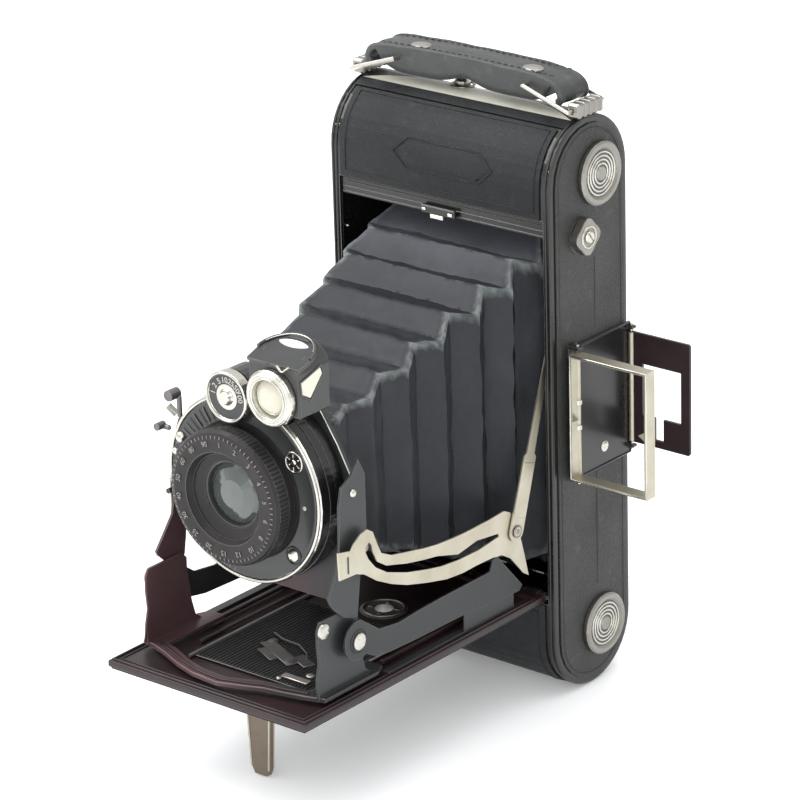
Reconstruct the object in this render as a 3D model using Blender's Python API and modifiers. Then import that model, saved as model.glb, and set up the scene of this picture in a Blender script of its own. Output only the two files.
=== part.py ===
"""Vintage folding roll-film camera, bed open and lens standard drawn out.

Axes: the lens looks along -Y, +Z is up, +X is to the right for someone facing the lens.
"Right" and "left" in names mean +X and -X. "Front" is towards -Y.
The origin is on the lens axis, at the outer flat face of the back.
All dimensions are in millimetres and are scaled to metres on output.
Each mesh object is one closed body. Moving pieces hang from an empty on their joint's axis.
"""
import bpy
import bmesh
import math
from mathutils import Matrix, Vector

MM = 0.001
SIDES = (("right", 1), ("left", -1))

# ---- driving dimensions (mm) ----
HALF_H = 73.65              # straight half height of the body, between the end arcs
R_OUT = 19.35               # end radius over the leather
MID_Y = -R_OUT              # middle of the body's depth
R_SHELL = R_OUT - 0.5       # end radius of the metal shell
WALL = 1.2
SHELL_X = 42.5              # half width of the metal shell
SIDE_FACE = SHELL_X + 0.8   # where the fittings on the body's sides begin
SKIN_X = 38.6               # half width of the front and back leather
OPEN_X = 39.6               # half width of the front opening
OPEN_LO, OPEN_HI = -60.9, 64.0
HINGE_Y, HINGE_Z = -37.2, -59.0     # bed hinge axis
SPOOL_Y, SPOOL_Z = -15.3, 74.0      # spool axes, at +Z and -Z
BUTTON_X, BUTTON_Y = -8, -15.5      # bed release button
WINDOW_Z = 20                       # red window in the back
LINK_TOP = (-33.8, 26.0)            # (y, z) of the upper link's pivot on the body
LINK_LOW = (-52.4, -31.4)           # (y, z) of the link to strut rivet
SLIDE_PIN = (-121.7, -13.0)         # (y, z) of the standard's pin in the strut's slot

# ---- scene ----
for old in list(bpy.data.objects):
    bpy.data.objects.remove(old, do_unlink=True)

pieces_col = bpy.data.collections.new("folding_camera")
tools_col = bpy.data.collections.new("cutters")
bpy.context.scene.collection.children.link(pieces_col)
bpy.context.scene.collection.children.link(tools_col)


# ---- materials ----
def material(name, colour, roughness, metallic=0.0):
    mat = bpy.data.materials.new(name)
    mat.use_nodes = True
    shader = mat.node_tree.nodes["Principled BSDF"]
    shader.inputs["Base Color"].default_value = (*colour, 1)
    shader.inputs["Roughness"].default_value = roughness
    shader.inputs["Metallic"].default_value = metallic
    return mat


ENAMEL = material("black_enamel", colour=(0.025, 0.022, 0.022), roughness=0.3)
BROWN = material("brown_black_enamel", colour=(0.045, 0.02, 0.02), roughness=0.3)
LEATHER = material("black_leather", colour=(0.04, 0.042, 0.045), roughness=0.6)
NICKEL = material("nickel", colour=(0.75, 0.73, 0.66), roughness=0.25, metallic=1.0)
BELLOWS = material("bellows_leather", colour=(0.035, 0.04, 0.055), roughness=0.6)
GLASS = material("lens_glass", colour=(0.35, 0.4, 0.38), roughness=0.05)
RED = material("red_window", colour=(0.4, 0.02, 0.02), roughness=0.1)
STRAP = material("strap_leather", colour=(0.05, 0.052, 0.055), roughness=0.5)


# ---- solids: a body made without a material is a tool for a boolean ----
def place(obj, mat):
    """Link a piece with its material, or a tool without one."""
    (pieces_col if mat else tools_col).objects.link(obj)
    if mat:
        obj.data.materials.clear()
        obj.data.materials.append(mat)
    return obj


def from_bmesh(name, bm, mat, sharp_angle=None):
    mesh = bpy.data.meshes.new(name)
    bmesh.ops.recalc_face_normals(bm, faces=bm.faces)
    bm.to_mesh(mesh)
    bm.free()
    if sharp_angle:
        mesh.shade_smooth()
        mesh.set_sharp_from_angle(angle=math.radians(sharp_angle))
    return place(bpy.data.objects.new(name, mesh), mat)


def box(name, x, y, z, mat=None, bevel=0.0, segs=1):
    """Box between the given (low, high) pairs, with its edges rounded."""
    bm = bmesh.new()
    bmesh.ops.create_cube(bm, size=1)
    for vert in bm.verts:
        vert.co = Vector([MM * (lo + (hi - lo) * (c + 0.5))
                          for (lo, hi), c in zip((x, y, z), vert.co)])
    if bevel:
        bmesh.ops.bevel(bm, geom=bm.edges[:], offset=bevel * MM, segments=segs,
                        affect="EDGES", profile=0.5)
    return from_bmesh(name, bm, mat)


# Rotations that take local +Z to +X, -Y and +Z
AXIS_ROT = {
    "x": Matrix.Rotation(math.pi / 2, 4, "Y"),
    "y": Matrix.Rotation(math.pi / 2, 4, "X"),
    "z": Matrix.Identity(4),
}


def cylinder(name, axis, centre, radius, length, mat=None, n=24):
    bm = bmesh.new()
    bmesh.ops.create_cone(bm, cap_ends=True, segments=n, radius1=radius * MM,
                          radius2=radius * MM, depth=length * MM)
    bmesh.ops.transform(bm, matrix=Matrix.Translation(Vector(centre) * MM) @ AXIS_ROT[axis],
                        verts=bm.verts)
    return from_bmesh(name, bm, mat, sharp_angle=40)


def lathe(name, axis, centre, profile, mat, n=24, flip=False):
    """Turned solid. profile lists (radius, height); heights run along +X, -Y or +Z."""
    mesh = bpy.data.meshes.new(name)
    points = [(r * MM, 0, h * MM) for r, h in profile]
    mesh.from_pydata(points, [(i, i + 1) for i in range(len(points) - 1)], [])
    obj = bpy.data.objects.new(name, mesh)
    rot = AXIS_ROT[axis]
    if flip:
        rot = rot @ Matrix.Rotation(math.pi, 4, "X")
    obj.matrix_world = Matrix.Translation(Vector(centre) * MM) @ rot
    place(obj, mat)
    turn = obj.modifiers.new("turn", "SCREW")
    turn.axis = "Z"
    turn.steps = turn.render_steps = n
    turn.use_merge_vertices = True
    turn.merge_threshold = 0.00001
    turn.use_smooth_shade = True
    return obj


def curve_object(name, loops, dimensions, cyclic=True):
    """Curve with one polyline spline per loop of 3D points in mm, in the scene."""
    curve = bpy.data.curves.new(name, "CURVE")
    curve.dimensions = dimensions
    for loop in loops:
        spline = curve.splines.new("POLY")
        spline.points.add(len(loop) - 1)
        for point, co in zip(spline.points, loop):
            point.co = (*[c * MM for c in co], 1)
        spline.use_cyclic_u = cyclic
    obj = bpy.data.objects.new(name, curve)
    bpy.context.scene.collection.objects.link(obj)
    return obj


def as_mesh(curve, mat):
    """Replace the curve object by its surface as a welded mesh object."""
    bpy.context.view_layer.update()
    graph = bpy.context.evaluated_depsgraph_get()
    mesh = bpy.data.meshes.new_from_object(curve.evaluated_get(graph))
    name = curve.name
    world = curve.matrix_world.copy()
    bpy.data.objects.remove(curve, do_unlink=True)
    bm = bmesh.new()
    bm.from_mesh(mesh)
    bmesh.ops.remove_doubles(bm, verts=bm.verts, dist=1e-6)
    bmesh.ops.recalc_face_normals(bm, faces=bm.faces)
    bm.to_mesh(mesh)
    bm.free()
    obj = bpy.data.objects.new(name, mesh)
    obj.matrix_world = world
    return place(obj, mat)


def prism(name, outline, span, mat=None, plane="yz", holes=(), bevel=0.0, segs=1, limit=40):
    """Flat outline extruded over span, square to its plane. The origin is at mid-span."""
    lo, hi = span
    mid = (lo + hi) / 2 * MM
    loops = [[(a, b, 0) for a, b in loop] for loop in (outline, *holes)]
    curve = curve_object(name, loops, "2D")
    curve.data.fill_mode = "BOTH"
    curve.data.extrude = (hi - lo) / 2 * MM
    curve.matrix_world = {
        "yz": Matrix(((0, 0, 1, mid), (1, 0, 0, 0), (0, 1, 0, 0), (0, 0, 0, 1))),
        "xz": Matrix(((1, 0, 0, 0), (0, 0, -1, mid), (0, 1, 0, 0), (0, 0, 0, 1))),
        "xy": Matrix(((1, 0, 0, 0), (0, 1, 0, 0), (0, 0, 1, mid), (0, 0, 0, 1))),
    }[plane]
    obj = as_mesh(curve, mat)
    if bevel:
        edge = obj.modifiers.new("edge", "BEVEL")
        edge.width = bevel * MM
        edge.segments = segs
        edge.limit_method = "ANGLE"
        edge.angle_limit = math.radians(limit)
    return obj


def wire_loop(name, points, radius, mat):
    """Round wire along a closed polyline."""
    curve = curve_object(name, [points], "3D")
    curve.data.bevel_depth = radius * MM
    curve.data.bevel_resolution = 2
    curve.data.use_fill_caps = True
    obj = as_mesh(curve, mat)
    obj.data.shade_smooth()
    return obj


def combine(target, tools, operation):
    for tool in tools:
        tool.hide_render = True
        tool.display_type = "WIRE"
        mod = target.modifiers.new(tool.name, "BOOLEAN")
        mod.operation = operation
        mod.object = tool
        mod.solver = "EXACT"


def cut(target, *tools):
    combine(target, tools, "DIFFERENCE")


def add(target, *tools):
    combine(target, tools, "UNION")


def pivot(name, at, pieces, parent=None):
    """An empty on a joint's axis, with the moving pieces under it, which stay where they are."""
    empty = bpy.data.objects.new(name, None)
    empty.empty_display_size = 0.01
    pieces_col.objects.link(empty)
    if parent:
        empty.parent = parent
        empty.matrix_parent_inverse = parent.matrix_world.inverted()
    empty.location = Vector(at) * MM
    bpy.context.view_layer.update()
    for piece in pieces:
        world = piece.matrix_world.copy()
        piece.parent = empty
        piece.matrix_parent_inverse = empty.matrix_world.inverted()
        piece.matrix_world = world
    return empty


# ---- spans and outlines ----
def centred(half, middle=0):
    return (middle - half, middle + half)


def side_span(side, inner, outer):
    """X span between two distances from the middle, on the side +1 or -1."""
    return tuple(sorted((side * inner, side * outer)))


def rectangle(x, y):
    return [(x[0], y[0]), (x[1], y[0]), (x[1], y[1]), (x[0], y[1])]


def arc(centre_z, radius, start, end, n):
    """(y, z) on an arc about MID_Y, angles in degrees from -Y towards +Z."""
    angles = [math.radians(start + (end - start) * i / n) for i in range(n + 1)]
    return [(MID_Y - radius * math.cos(t), centre_z + radius * math.sin(t)) for t in angles]


def stadium(radius, n=14):
    """Side outline of the body: two half rounds joined by flats."""
    return arc(HALF_H, radius, 0, 180, n) + arc(-HALF_H, radius, 180, 360, n)


def skin(start, end, n, thickness, tail_z=None, side=1):
    """Section of a thin skin around the top (+1) or bottom (-1) end arc.

    tail_z is the height to which it runs on straight down (or up) the front.
    """
    layers = []
    for radius in (R_OUT, R_OUT - thickness):
        layer = arc(HALF_H, radius, start, end, n)
        if tail_z is not None:
            layer.insert(0, (MID_Y - radius, side * tail_z))
        layers.append([(y, side * z) for y, z in layer])
    return layers[0] + layers[1][::-1]


# ---- holes that run through more than one piece ----
def key_hole(name):
    return cylinder(name, "x", (-42, SPOOL_Y, SPOOL_Z), radius=2.3, length=8, n=16)


def button_hole(name):
    return cylinder(name, "z", (BUTTON_X, BUTTON_Y, 92), radius=3.0, length=12, n=16)


def window_hole(name, y, radius):
    return cylinder(name, "y", (0, y, WINDOW_Z), radius, length=10, n=20)


# ---- body ----
CAP_PROFILE = [(0, 1.5), (2.0, 1.5), (2.4, 1.0), (7.4, 1.0), (8.2, 1.7), (9.4, 1.7),
               (10.0, 1.1), (10.0, 0), (0, 0)]
LINTEL_X = centred(39.2)
LINTEL_TOP = 63.7


def build_shell():
    shell = prism("body_shell", stadium(R_SHELL), centred(SHELL_X), ENAMEL,
                  bevel=0.9, segs=2, limit=60)
    cut(shell,
        prism("cut_inside", stadium(R_SHELL - WALL), centred(SHELL_X - WALL)),
        box("cut_front", centred(OPEN_X), (-45, -30), (OPEN_LO, OPEN_HI)),
        box("cut_back", centred(40), (-6, 5), centred(71)),
        key_hole("cut_key"),
        button_hole("cut_button"))
    shell.data.shade_smooth()
    shell.data.set_sharp_from_angle(angle=math.radians(35))


def build_coverings():
    """Front leather above and below the opening, top plate and side leather."""
    prism("front_leather_top", skin(0, 60, 6, 0.4, tail_z=OPEN_HI + 0.3),
          centred(SKIN_X), LEATHER)
    prism("front_leather_bottom", skin(0, 100, 9, 0.4, tail_z=OPEN_LO - 0.3, side=-1),
          centred(SKIN_X), LEATHER)
    top_plate = prism("top_plate", skin(62.5, 118, 5, 0.35), centred(40.5), NICKEL)
    cut(top_plate, button_hole("cut_button_plate"))
    for tag, side in SIDES:
        leather = prism("side_leather_" + tag, stadium(16.9, 12),
                        side_span(side, SHELL_X + 0.1, SHELL_X + 0.5), LEATHER)
        if side < 0:
            cut(leather, key_hole("cut_key_skin"))


def build_body_fittings():
    lintel = box("opening_lintel", LINTEL_X, (-37.3, -35.9), (58.2, LINTEL_TOP), ENAMEL,
                 bevel=0.3)
    add(lintel, box("add_lintel_back", LINTEL_X, (-36.6, -30.5), (62.2, LINTEL_TOP), bevel=0.3))
    prism("film_gate_frame", rectangle(centred(36.5), centred(60)), (-8.6, -6.6), ENAMEL,
          plane="xz", holes=[rectangle(centred(32.5), centred(55))])
    for place_name, side, z in (("upper_right", 1, SPOOL_Z), ("lower_right", 1, -SPOOL_Z),
                                ("lower_left", -1, -SPOOL_Z)):
        lathe("spool_cap_" + place_name, "x", (side * SIDE_FACE, SPOOL_Y, z), CAP_PROFILE,
              NICKEL, flip=side < 0)
    # catch at the opening's top edge, and the rod the bed turns on
    box("bed_catch", centred(6.5), (-39.3, -37.7), (58.6, 61.2), NICKEL, bevel=0.3)
    cylinder("bed_hinge_pin", "x", (0, HINGE_Y, HINGE_Z), radius=0.7, length=78.4,
             mat=NICKEL, n=12)


# ---- back, hinged at its bottom edge ----
def build_back():
    cover = box("back_cover", centred(39.6), (-2.2, -1.1), (-70.4, 70.6), ENAMEL, bevel=0.3)
    cut(cover, window_hole("cut_window", y=-1, radius=4.2))
    leather = box("back_leather", centred(SKIN_X), (-0.5, 0.0), (-69.4, 69.6), LEATHER,
                  bevel=0.15)
    cut(leather, window_hole("cut_window_skin", y=-1, radius=4.9))
    window = cylinder("red_window", "y", (0, -1.75, WINDOW_Z), radius=3.9, length=0.8,
                      mat=RED, n=20)
    plate = box("pressure_plate", centred(34.0), (-4.4, -3.6), centred(57), ENAMEL, bevel=0.2)
    cut(plate, window_hole("cut_window_plate", y=-4, radius=4.2))
    pivot("back_hinge", (0, -0.35, -70.9), [cover, leather, window, plate])

    window_cover = prism("red_window_cover", rectangle(centred(4.8), centred(4.6, WINDOW_Z)),
                         (-0.95, -0.65), NICKEL, plane="xz")
    pivot("window_slide", (0, -0.8, WINDOW_Z), [window_cover])


# ---- film spools and controls on the body ----
SPOOL_PROFILE = [(0, 32.6), (11.3, 32.6), (11.3, 31.8), (3.4, 31.8),
                 (3.4, -31.8), (11.3, -31.8), (11.3, -32.6), (0, -32.6)]
BUTTON_PROFILE = [(0, 7.6), (1.6, 7.4), (2.5, 6.6), (2.5, 0), (0, 0)]
LOCK_Y, LOCK_Z = -24.2, 56.6
LOCK_R, LOCK_WAVE = 5.4, 0.55       # mean radius, depth of the four scallops
LOCK_POINTS = 32


def build_spools():
    for tag, z in (("take_up", SPOOL_Z), ("supply", -SPOOL_Z)):
        spool = lathe(tag + "_spool", "x", (0, SPOOL_Y, z), SPOOL_PROFILE, ENAMEL, n=20)
        pivot(tag + "_axis", (0, SPOOL_Y, z), [spool])


def build_winding_key():
    key = cylinder("winding_key", "x", (-40.2, SPOOL_Y, SPOOL_Z), radius=1.7, length=12.4,
                   mat=NICKEL, n=16)
    add(key,
        box("add_key_wing", (-50.0, -45.6), centred(8, SPOOL_Y), centred(1.0, SPOOL_Z),
            bevel=0.5),
        cylinder("add_key_collar", "x", (-44.6, SPOOL_Y, SPOOL_Z), radius=4.6, length=2.4, n=20))
    pivot("key_axis", (-46, SPOOL_Y, SPOOL_Z), [key])


def build_back_lock():
    """Scalloped knob on the right side."""
    outline = []
    for i in range(LOCK_POINTS):
        angle = 2 * math.pi * i / LOCK_POINTS
        radius = LOCK_R + LOCK_WAVE * math.cos(4 * angle)
        outline.append((LOCK_Y + radius * math.cos(angle), LOCK_Z + radius * math.sin(angle)))
    knob = prism("back_lock_knob", outline, (SIDE_FACE, SIDE_FACE + 3), NICKEL,
                 bevel=0.5, limit=60)
    pivot("lock_axis", (SIDE_FACE, LOCK_Y, LOCK_Z), [knob])


def build_release_button():
    button = lathe("bed_release_button", "z", (BUTTON_X, BUTTON_Y, 87.8), BUTTON_PROFILE,
                   NICKEL, n=16)
    pivot("button_axis", (BUTTON_X, BUTTON_Y, 92), [button])


# ---- frame finder on the right side ----
FRONT_X, FRONT_Y = 46.6, -31.0      # front frame's hinge
FRONT_LO, FRONT_HI = -18.6, 22.2
FRONT_MID = (FRONT_LO + FRONT_HI) / 2
FRONT_REACH = 28.5                  # from the hinge to the outer edge
FRONT_BAR = 0.9
POINTER = 2.9                       # length of the pointers at mid height
REAR_X, REAR_Y = 44.95, -1.3        # rear frame's hinge
REAR_LO, REAR_HI = -17.0, 19.5
REAR_MID = (REAR_LO + REAR_HI) / 2
REAR_OUTER, REAR_CHAMFER = 67.2, 0.6
# (x, z) of the rear frame's window, with a tongue hanging into its notch
REAR_WINDOW = [(49.3, -7.2), (54.0, -7.2), (54.0, -14.5), (57.2, -14.5),
               (57.2, -7.2), (63.8, -7.2), (63.8, 9.6), (49.3, 9.6)]
# name, x, y and z spans, bevel of what stands on the base plate
BASE_LUGS = [
    ("add_lug_a", (43.5, 48.0), (-32.3, -29.8), (22.6, 23.8), 0.3),
    ("add_lug_b", (43.5, 48.0), (-32.3, -29.8), (-20.3, -19.1), 0.3),
    ("add_web_a", (43.5, 44.1), (-32.3, -28.0), (20.0, 23.6), 0.0),
    ("add_lug_c", (43.5, 46.2), (-2.5, -0.3), (20.3, 21.4), 0.3),
    ("add_lug_d", (43.5, 46.2), (-2.5, -0.3), (-18.9, -17.8), 0.3),
]


def build_finder_base():
    base = box("finder_base_plate", (SIDE_FACE, 44.1), (-31.6, -0.6), (-21.0, 22.4), ENAMEL,
               bevel=0.2)
    for name, x, y, z, bevel in BASE_LUGS:
        add(base, box(name, x, y, z, bevel=bevel))


def build_finder_front_frame():
    outer = rectangle((FRONT_X - 0.4, FRONT_X + FRONT_REACH), (FRONT_LO, FRONT_HI))
    inner = rectangle((FRONT_X + 0.5, FRONT_X + FRONT_REACH - FRONT_BAR),
                      (FRONT_LO + FRONT_BAR, FRONT_HI - FRONT_BAR))
    frame = prism("finder_front_frame", outer, (FRONT_Y - 4.0, FRONT_Y + 0.3), NICKEL,
                  plane="xz", holes=[inner])
    add(frame, cylinder("add_ff_barrel", "z", (FRONT_X, FRONT_Y, FRONT_MID), radius=0.85,
                        length=FRONT_HI - FRONT_LO - 0.2, n=12))
    roots = ((FRONT_X, 1), (FRONT_X + FRONT_REACH - 0.3, -1))
    for i, (root, direction) in enumerate(roots):
        triangle = [(root, FRONT_MID + 1.8), (root + POINTER * direction, FRONT_MID),
                    (root, FRONT_MID - 1.8)]
        add(frame, prism("add_ff_pointer_%d" % i, triangle, (FRONT_Y - 3.8, FRONT_Y - 3.0),
                         plane="xz"))
    pivot("finder_front_hinge", (FRONT_X, FRONT_Y, FRONT_MID), [frame])


def build_finder_rear_frame():
    inset = REAR_OUTER - REAR_CHAMFER
    outline = [(REAR_X, REAR_LO), (inset, REAR_LO), (REAR_OUTER, REAR_LO + REAR_CHAMFER),
               (REAR_OUTER, REAR_HI - REAR_CHAMFER), (inset, REAR_HI), (REAR_X, REAR_HI)]
    frame = prism("finder_rear_frame", outline, centred(0.4, REAR_Y), BROWN, plane="xz",
                  holes=[REAR_WINDOW])
    add(frame, cylinder("add_rf_barrel", "z", (REAR_X, REAR_Y, REAR_MID), radius=0.8,
                        length=36.4, n=12))
    pivot("finder_rear_hinge", (REAR_X, REAR_Y, REAR_MID), [frame])


# ---- carrying handle ----
LUG_X, LUG_Z = 41.6, 95.6           # wire ring's axis in the lug
RING_IN_X, RING_IN_Z = 25.0, 101.2  # the ring's bar under the strap
RING_FRONT, RING_BACK = -28.0, -10.7
# left halves of the strap's upper and lower faces, (x, z) up to the middle
STRAP_TOP = [(-42.0, 98.9), (-41.2, 101.4), (-37.5, 103.8), (-30, 105.1), (0, 105.7)]
STRAP_LOW = [(-40.4, 98.6), (-39.6, 100.7), (-36.6, 102.2), (-29, 103.2), (0, 103.8)]


def build_handle():
    for tag, side in SIDES:
        lug = box("strap_lug_" + tag, side_span(side, 39.6, 43.8), (-25.6, -13.1),
                  (93.4, 97.7), NICKEL, bevel=0.5)
        lug_x = side * LUG_X
        cut(lug, cylinder("cut_lug_" + tag, "y", (lug_x, MID_Y, LUG_Z), radius=1.25,
                          length=20, n=14))
        inner_x = side * RING_IN_X
        ring = wire_loop("strap_ring_" + tag,
                         [(lug_x, RING_FRONT, LUG_Z), (lug_x, RING_BACK, LUG_Z),
                          (inner_x, RING_BACK, RING_IN_Z), (inner_x, RING_FRONT, RING_IN_Z)],
                         0.8, NICKEL)
        pivot("ring_axis_" + tag, (lug_x, MID_Y, LUG_Z), [ring])

    top = STRAP_TOP + [(-x, z) for x, z in STRAP_TOP[-2::-1]]
    low = [(-x, z) for x, z in STRAP_LOW] + STRAP_LOW[-2::-1]
    strap = prism("handle_strap", top + low, (-26.2, -12.6), STRAP, plane="xz")
    pivot("handle_lift", (0, MID_Y, 104), [strap])


# ---- bed ----
BED_X = 38.9
BED_FRONT = -153.3
SKIN_INSET = 0.7                    # bed leather in from the bed's front and side edges
BUSH_X, BUSH_Y = 5, -76
BUSH_PROFILE = [(3.0, 0.75), (6.9, 0.75), (7.5, 0.6), (7.5, 0.4), (5.2, 0.4), (5.2, -2.5),
                (3.0, -2.5), (3.0, 0.75)]
FOOT_X = 1.4
# (x from FOOT_X, z)
FOOT = [(-5.0, -61.2), (5.0, -61.2), (5.0, -64), (3.6, -91.0), (2.6, -93.0),
        (-2.6, -93.0), (-3.6, -91.0), (-5.0, -64)]
ARM_SCREW_Y, ARM_SCREW_Z = -125.5, -41.6
ARM_END_R = 6.3
# (y, z) of the side arm's sloping rear end and lower edge, then of its upper edge
ARM_LOWER = [(-59.8, -37.6), (-47.6, -51.2), (-49.0, -52.8), (-75.2, -51.0), (-99.0, -50.6),
             (-111.5, -50.1), (-118.6, -48.8)]
ARM_UPPER = [(-115.8, -41.2), (-106.6, -42.4), (-98.7, -41.9), (-86.9, -41.6),
             (-63.0, -41.6), (-61.6, -38.2)]


def bush_hole(name):
    return cylinder(name, "z", (BUSH_X, BUSH_Y, -59), radius=5.5, length=8)


def bed_plate():
    plate = box("bed_plate", centred(BED_X), (BED_FRONT, -38.9), (-59.9, -57.7), BROWN,
                bevel=0.5, segs=2)
    hinge = (0, HINGE_Y, HINGE_Z)
    add(plate,
        cylinder("add_bed_barrel", "x", hinge, radius=1.5, length=76.0, n=14),
        box("add_bed_web", centred(38), (-39.6, HINGE_Y), (-59.6, -58.3)))
    cut(plate,
        cylinder("cut_bed_pin", "x", hinge, radius=1.0, length=90, n=14),
        bush_hole("cut_bush"))
    return plate


def bed_leather():
    leather = box("bed_leather", centred(BED_X - SKIN_INSET), (BED_FRONT + SKIN_INSET, -39.8),
                  (-60.6, -60.1), LEATHER, bevel=0.15)
    cut(leather, bush_hole("cut_bush_skin"))
    return leather


def bed_arm(tag, side):
    """Flat band beside the bed, with a round front end."""
    angles = [math.radians(t) for t in range(-60, -292, -20)]
    end = [(ARM_SCREW_Y + ARM_END_R * math.cos(t), ARM_SCREW_Z + 0.4 + ARM_END_R * math.sin(t))
           for t in angles]
    arm = prism("bed_arm_" + tag, ARM_LOWER + end + ARM_UPPER, side_span(side, 36.2, 36.8),
                ENAMEL)
    add(arm,
        box("add_arm_foot_" + tag, side_span(side, 34.4, 36.7), (-112, -52), (-57.4, -56.7)),
        box("add_arm_web_" + tag, side_span(side, 36.25, 36.75), (-76, -52), (-57.1, -50.5)),
        cylinder("add_arm_screw_" + tag, "x", (side * 36.85, ARM_SCREW_Y, ARM_SCREW_Z),
                 radius=2.9, length=0.9, n=16))
    return arm


def build_bed():
    bush = lathe("tripod_bush", "z", (BUSH_X, BUSH_Y, -58.0), BUSH_PROFILE, NICKEL)
    track = box("focus_track_plate", (-19, 26), (-136, -86), (-57.4, -57.0), ENAMEL, bevel=0.1)
    arms = [bed_arm(tag, side) for tag, side in SIDES]
    pivot("bed_axis", (0, HINGE_Y, HINGE_Z), [bed_plate(), bed_leather(), bush, track] + arms)

    foot = prism("bed_foot", [(x + FOOT_X, z) for x, z in FOOT], (-131.6, -129.4), NICKEL,
                 plane="xz", bevel=0.4)
    pivot("foot_hinge", (FOOT_X, -130.5, -62.1), [foot])


# ---- base bracket, which slides along the bed ----
# (x, y): front edge from left to right, then the back of the U from right to left
BRACKET = [
    (-35.9, -140.4), (-31.0, -141.2), (-24.8, -143.4), (-16.2, -147.0), (-8.3, -149.4),
    (1.9, -150.2), (9.8, -147.6), (15.9, -145.2), (22.0, -144.2), (30.0, -142.4),
    (35.9, -140.4), (35.9, -116), (34.0, -112), (28.5, -112), (28.5, -138.0), (20, -139.6),
    (12, -141.2), (2, -145.4), (-8, -144.8), (-16, -142.4), (-24, -138.8), (-28.5, -137.6),
    (-28.5, -112), (-34.0, -112), (-35.9, -116)]
# (y, z) of the upright ear on either side
EAR = [(-116.0, -55.9), (-119.6, -53.2), (-121.0, -48.2), (-122.5, -38.3), (-122.4, -33.5),
       (-124.5, -31.4), (-139.0, -31.4), (-140.3, -33.8), (-140.4, -38.5), (-139.9, -44.4),
       (-141.0, -48.7), (-141.2, -55.9)]


def build_base_bracket():
    bracket = prism("base_bracket", BRACKET, (-56.1, -55.1), BROWN, plane="xy")
    for tag, side in SIDES:
        add(bracket, prism("add_ear_" + tag, EAR, side_span(side, 33.2, 34.0)))
    pivot("base_slide", (0, -128, -55.6), [bracket])


# ---- self-erecting linkage on both sides ----
LINK_X = 38.5                       # link and strut axes' place in X
SLIDER_AT = (36.4, *SLIDE_PIN)
LINK_END_R = 3.3                    # round end at the rivet
# (y, z): upper edge from the front, rear end, then lower edge back to the front
STRUT = [
    (-129.0, -11.3), (-127.6, -9.4), (-124.8, -7.6), (-121.7, -7.0), (-119.2, -8.6),
    (-117.4, -13.0), (-115.6, -16.6), (-111, -18.9), (-103.8, -20.4), (-96, -22.0),
    (-89.8, -22.9), (-82, -23.5), (-75.5, -23.7), (-65, -23.6), (-57.5, -23.2),
    (-54.6, -24.6), (-50.6, -29.0), (-49.8, -34.0), (-47.8, -41.0), (-45.9, -48.4),
    (-48.6, -46.6), (-51.6, -43.2), (-54.6, -39.8), (-58.8, -37.2), (-64, -36.4),
    (-71.1, -36.2), (-78, -36.3), (-85.5, -35.6), (-95, -33.4), (-104.3, -30.8),
    (-111.5, -27.9), (-117.9, -24.6), (-123.5, -20.6), (-127.2, -19.2), (-134.6, -18.8),
    (-135.0, -10.0)]
STRUT_SLOT = [
    (-122.6, -12.2), (-121.0, -11.2), (-119.9, -12.6), (-119.6, -14.6), (-117.6, -18.6),
    (-113.5, -21.3), (-103.9, -24.0), (-96, -25.6), (-89.9, -26.6), (-80, -29.5),
    (-70.8, -28.2), (-60.6, -29.5), (-60.2, -30.6), (-70, -31.6), (-80, -31.4),
    (-88, -30.6), (-94.8, -29.2), (-104, -26.9), (-113.2, -23.6), (-118.4, -20.2),
    (-121.6, -16.4), (-122.8, -13.8)]


def link_outline():
    """(y, z) outline laid along the line from the top pivot to the rivet."""
    top, low = Vector(LINK_TOP), Vector(LINK_LOW)
    along = (low - top).normalized()
    across = Vector((along.y, -along.x))

    def offset(origin, distance, aside):
        point = origin + along * distance + across * aside
        return (point.x, point.y)

    angles = [math.pi * i / 8 for i in range(9)]
    upper = [(-2.2, -1.0), (-2.2, 1.0), (8, 1.3), (36, 1.9), (37, 3.0)]
    lower = [(37, -3.0), (36, -1.9), (8, -1.3)]
    return ([offset(top, *p) for p in upper]
            + [offset(low, LINK_END_R * math.sin(t), LINK_END_R * math.cos(t)) for t in angles]
            + [offset(top, *p) for p in lower])


def strut_outlines(side):
    """Outline and slot. The left strut ends at its slot, without the right one's front tab."""
    if side > 0:
        return STRUT, STRUT_SLOT
    return ([(max(y, -123.2), z) for y, z in STRUT[:-1]],
            [(max(y, -121.2), z) for y, z in STRUT_SLOT])


def build_linkage():
    """Links and struts, and the right strut's slider. Returns the slider's axis."""
    strut_axes = {}
    for tag, side in SIDES:
        link = prism("strut_link_" + tag, link_outline(), side_span(side, 38.4, 38.9), NICKEL)
        add(link, cylinder("add_rivet_" + tag, "x", (side * 38.95, *LINK_LOW), radius=1.6,
                           length=0.8, n=12))
        outline, slot = strut_outlines(side)
        strut = prism("slotted_strut_" + tag, outline, side_span(side, 37.6, 38.1), NICKEL,
                      holes=[slot])
        link_axis = pivot("link_axis_" + tag, (side * LINK_X, *LINK_TOP), [link])
        strut_axes[tag] = pivot("strut_axis_" + tag, (side * LINK_X, *LINK_LOW), [strut],
                                parent=link_axis)
    slider = cylinder("strut_slider", "x", SLIDER_AT, radius=1.3, length=1.8, mat=NICKEL, n=14)
    return pivot("slider_right", SLIDER_AT, [slider], parent=strut_axes["right"])


# ---- lens standard ----
SHUTTER_R = 29.6
SHUTTER_Y = -120.8                  # back of the shutter
RING_R = 21.0
LENS_Y = -132.2                     # back of the focusing ring and front lens
DIAL_X, DIAL_Z = -2.2, 29.5
FRAME_WEB_Y = (-120.3, -119.1)
FRAME = [(-31.2, -26), (-31.2, 8), (-26.5, 16.5), (-20, 26.4), (20, 26.4), (26.5, 16.5),
         (31.2, 8), (31.2, -26), (22, -34.2), (-22, -34.2)]     # (x, z)
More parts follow.
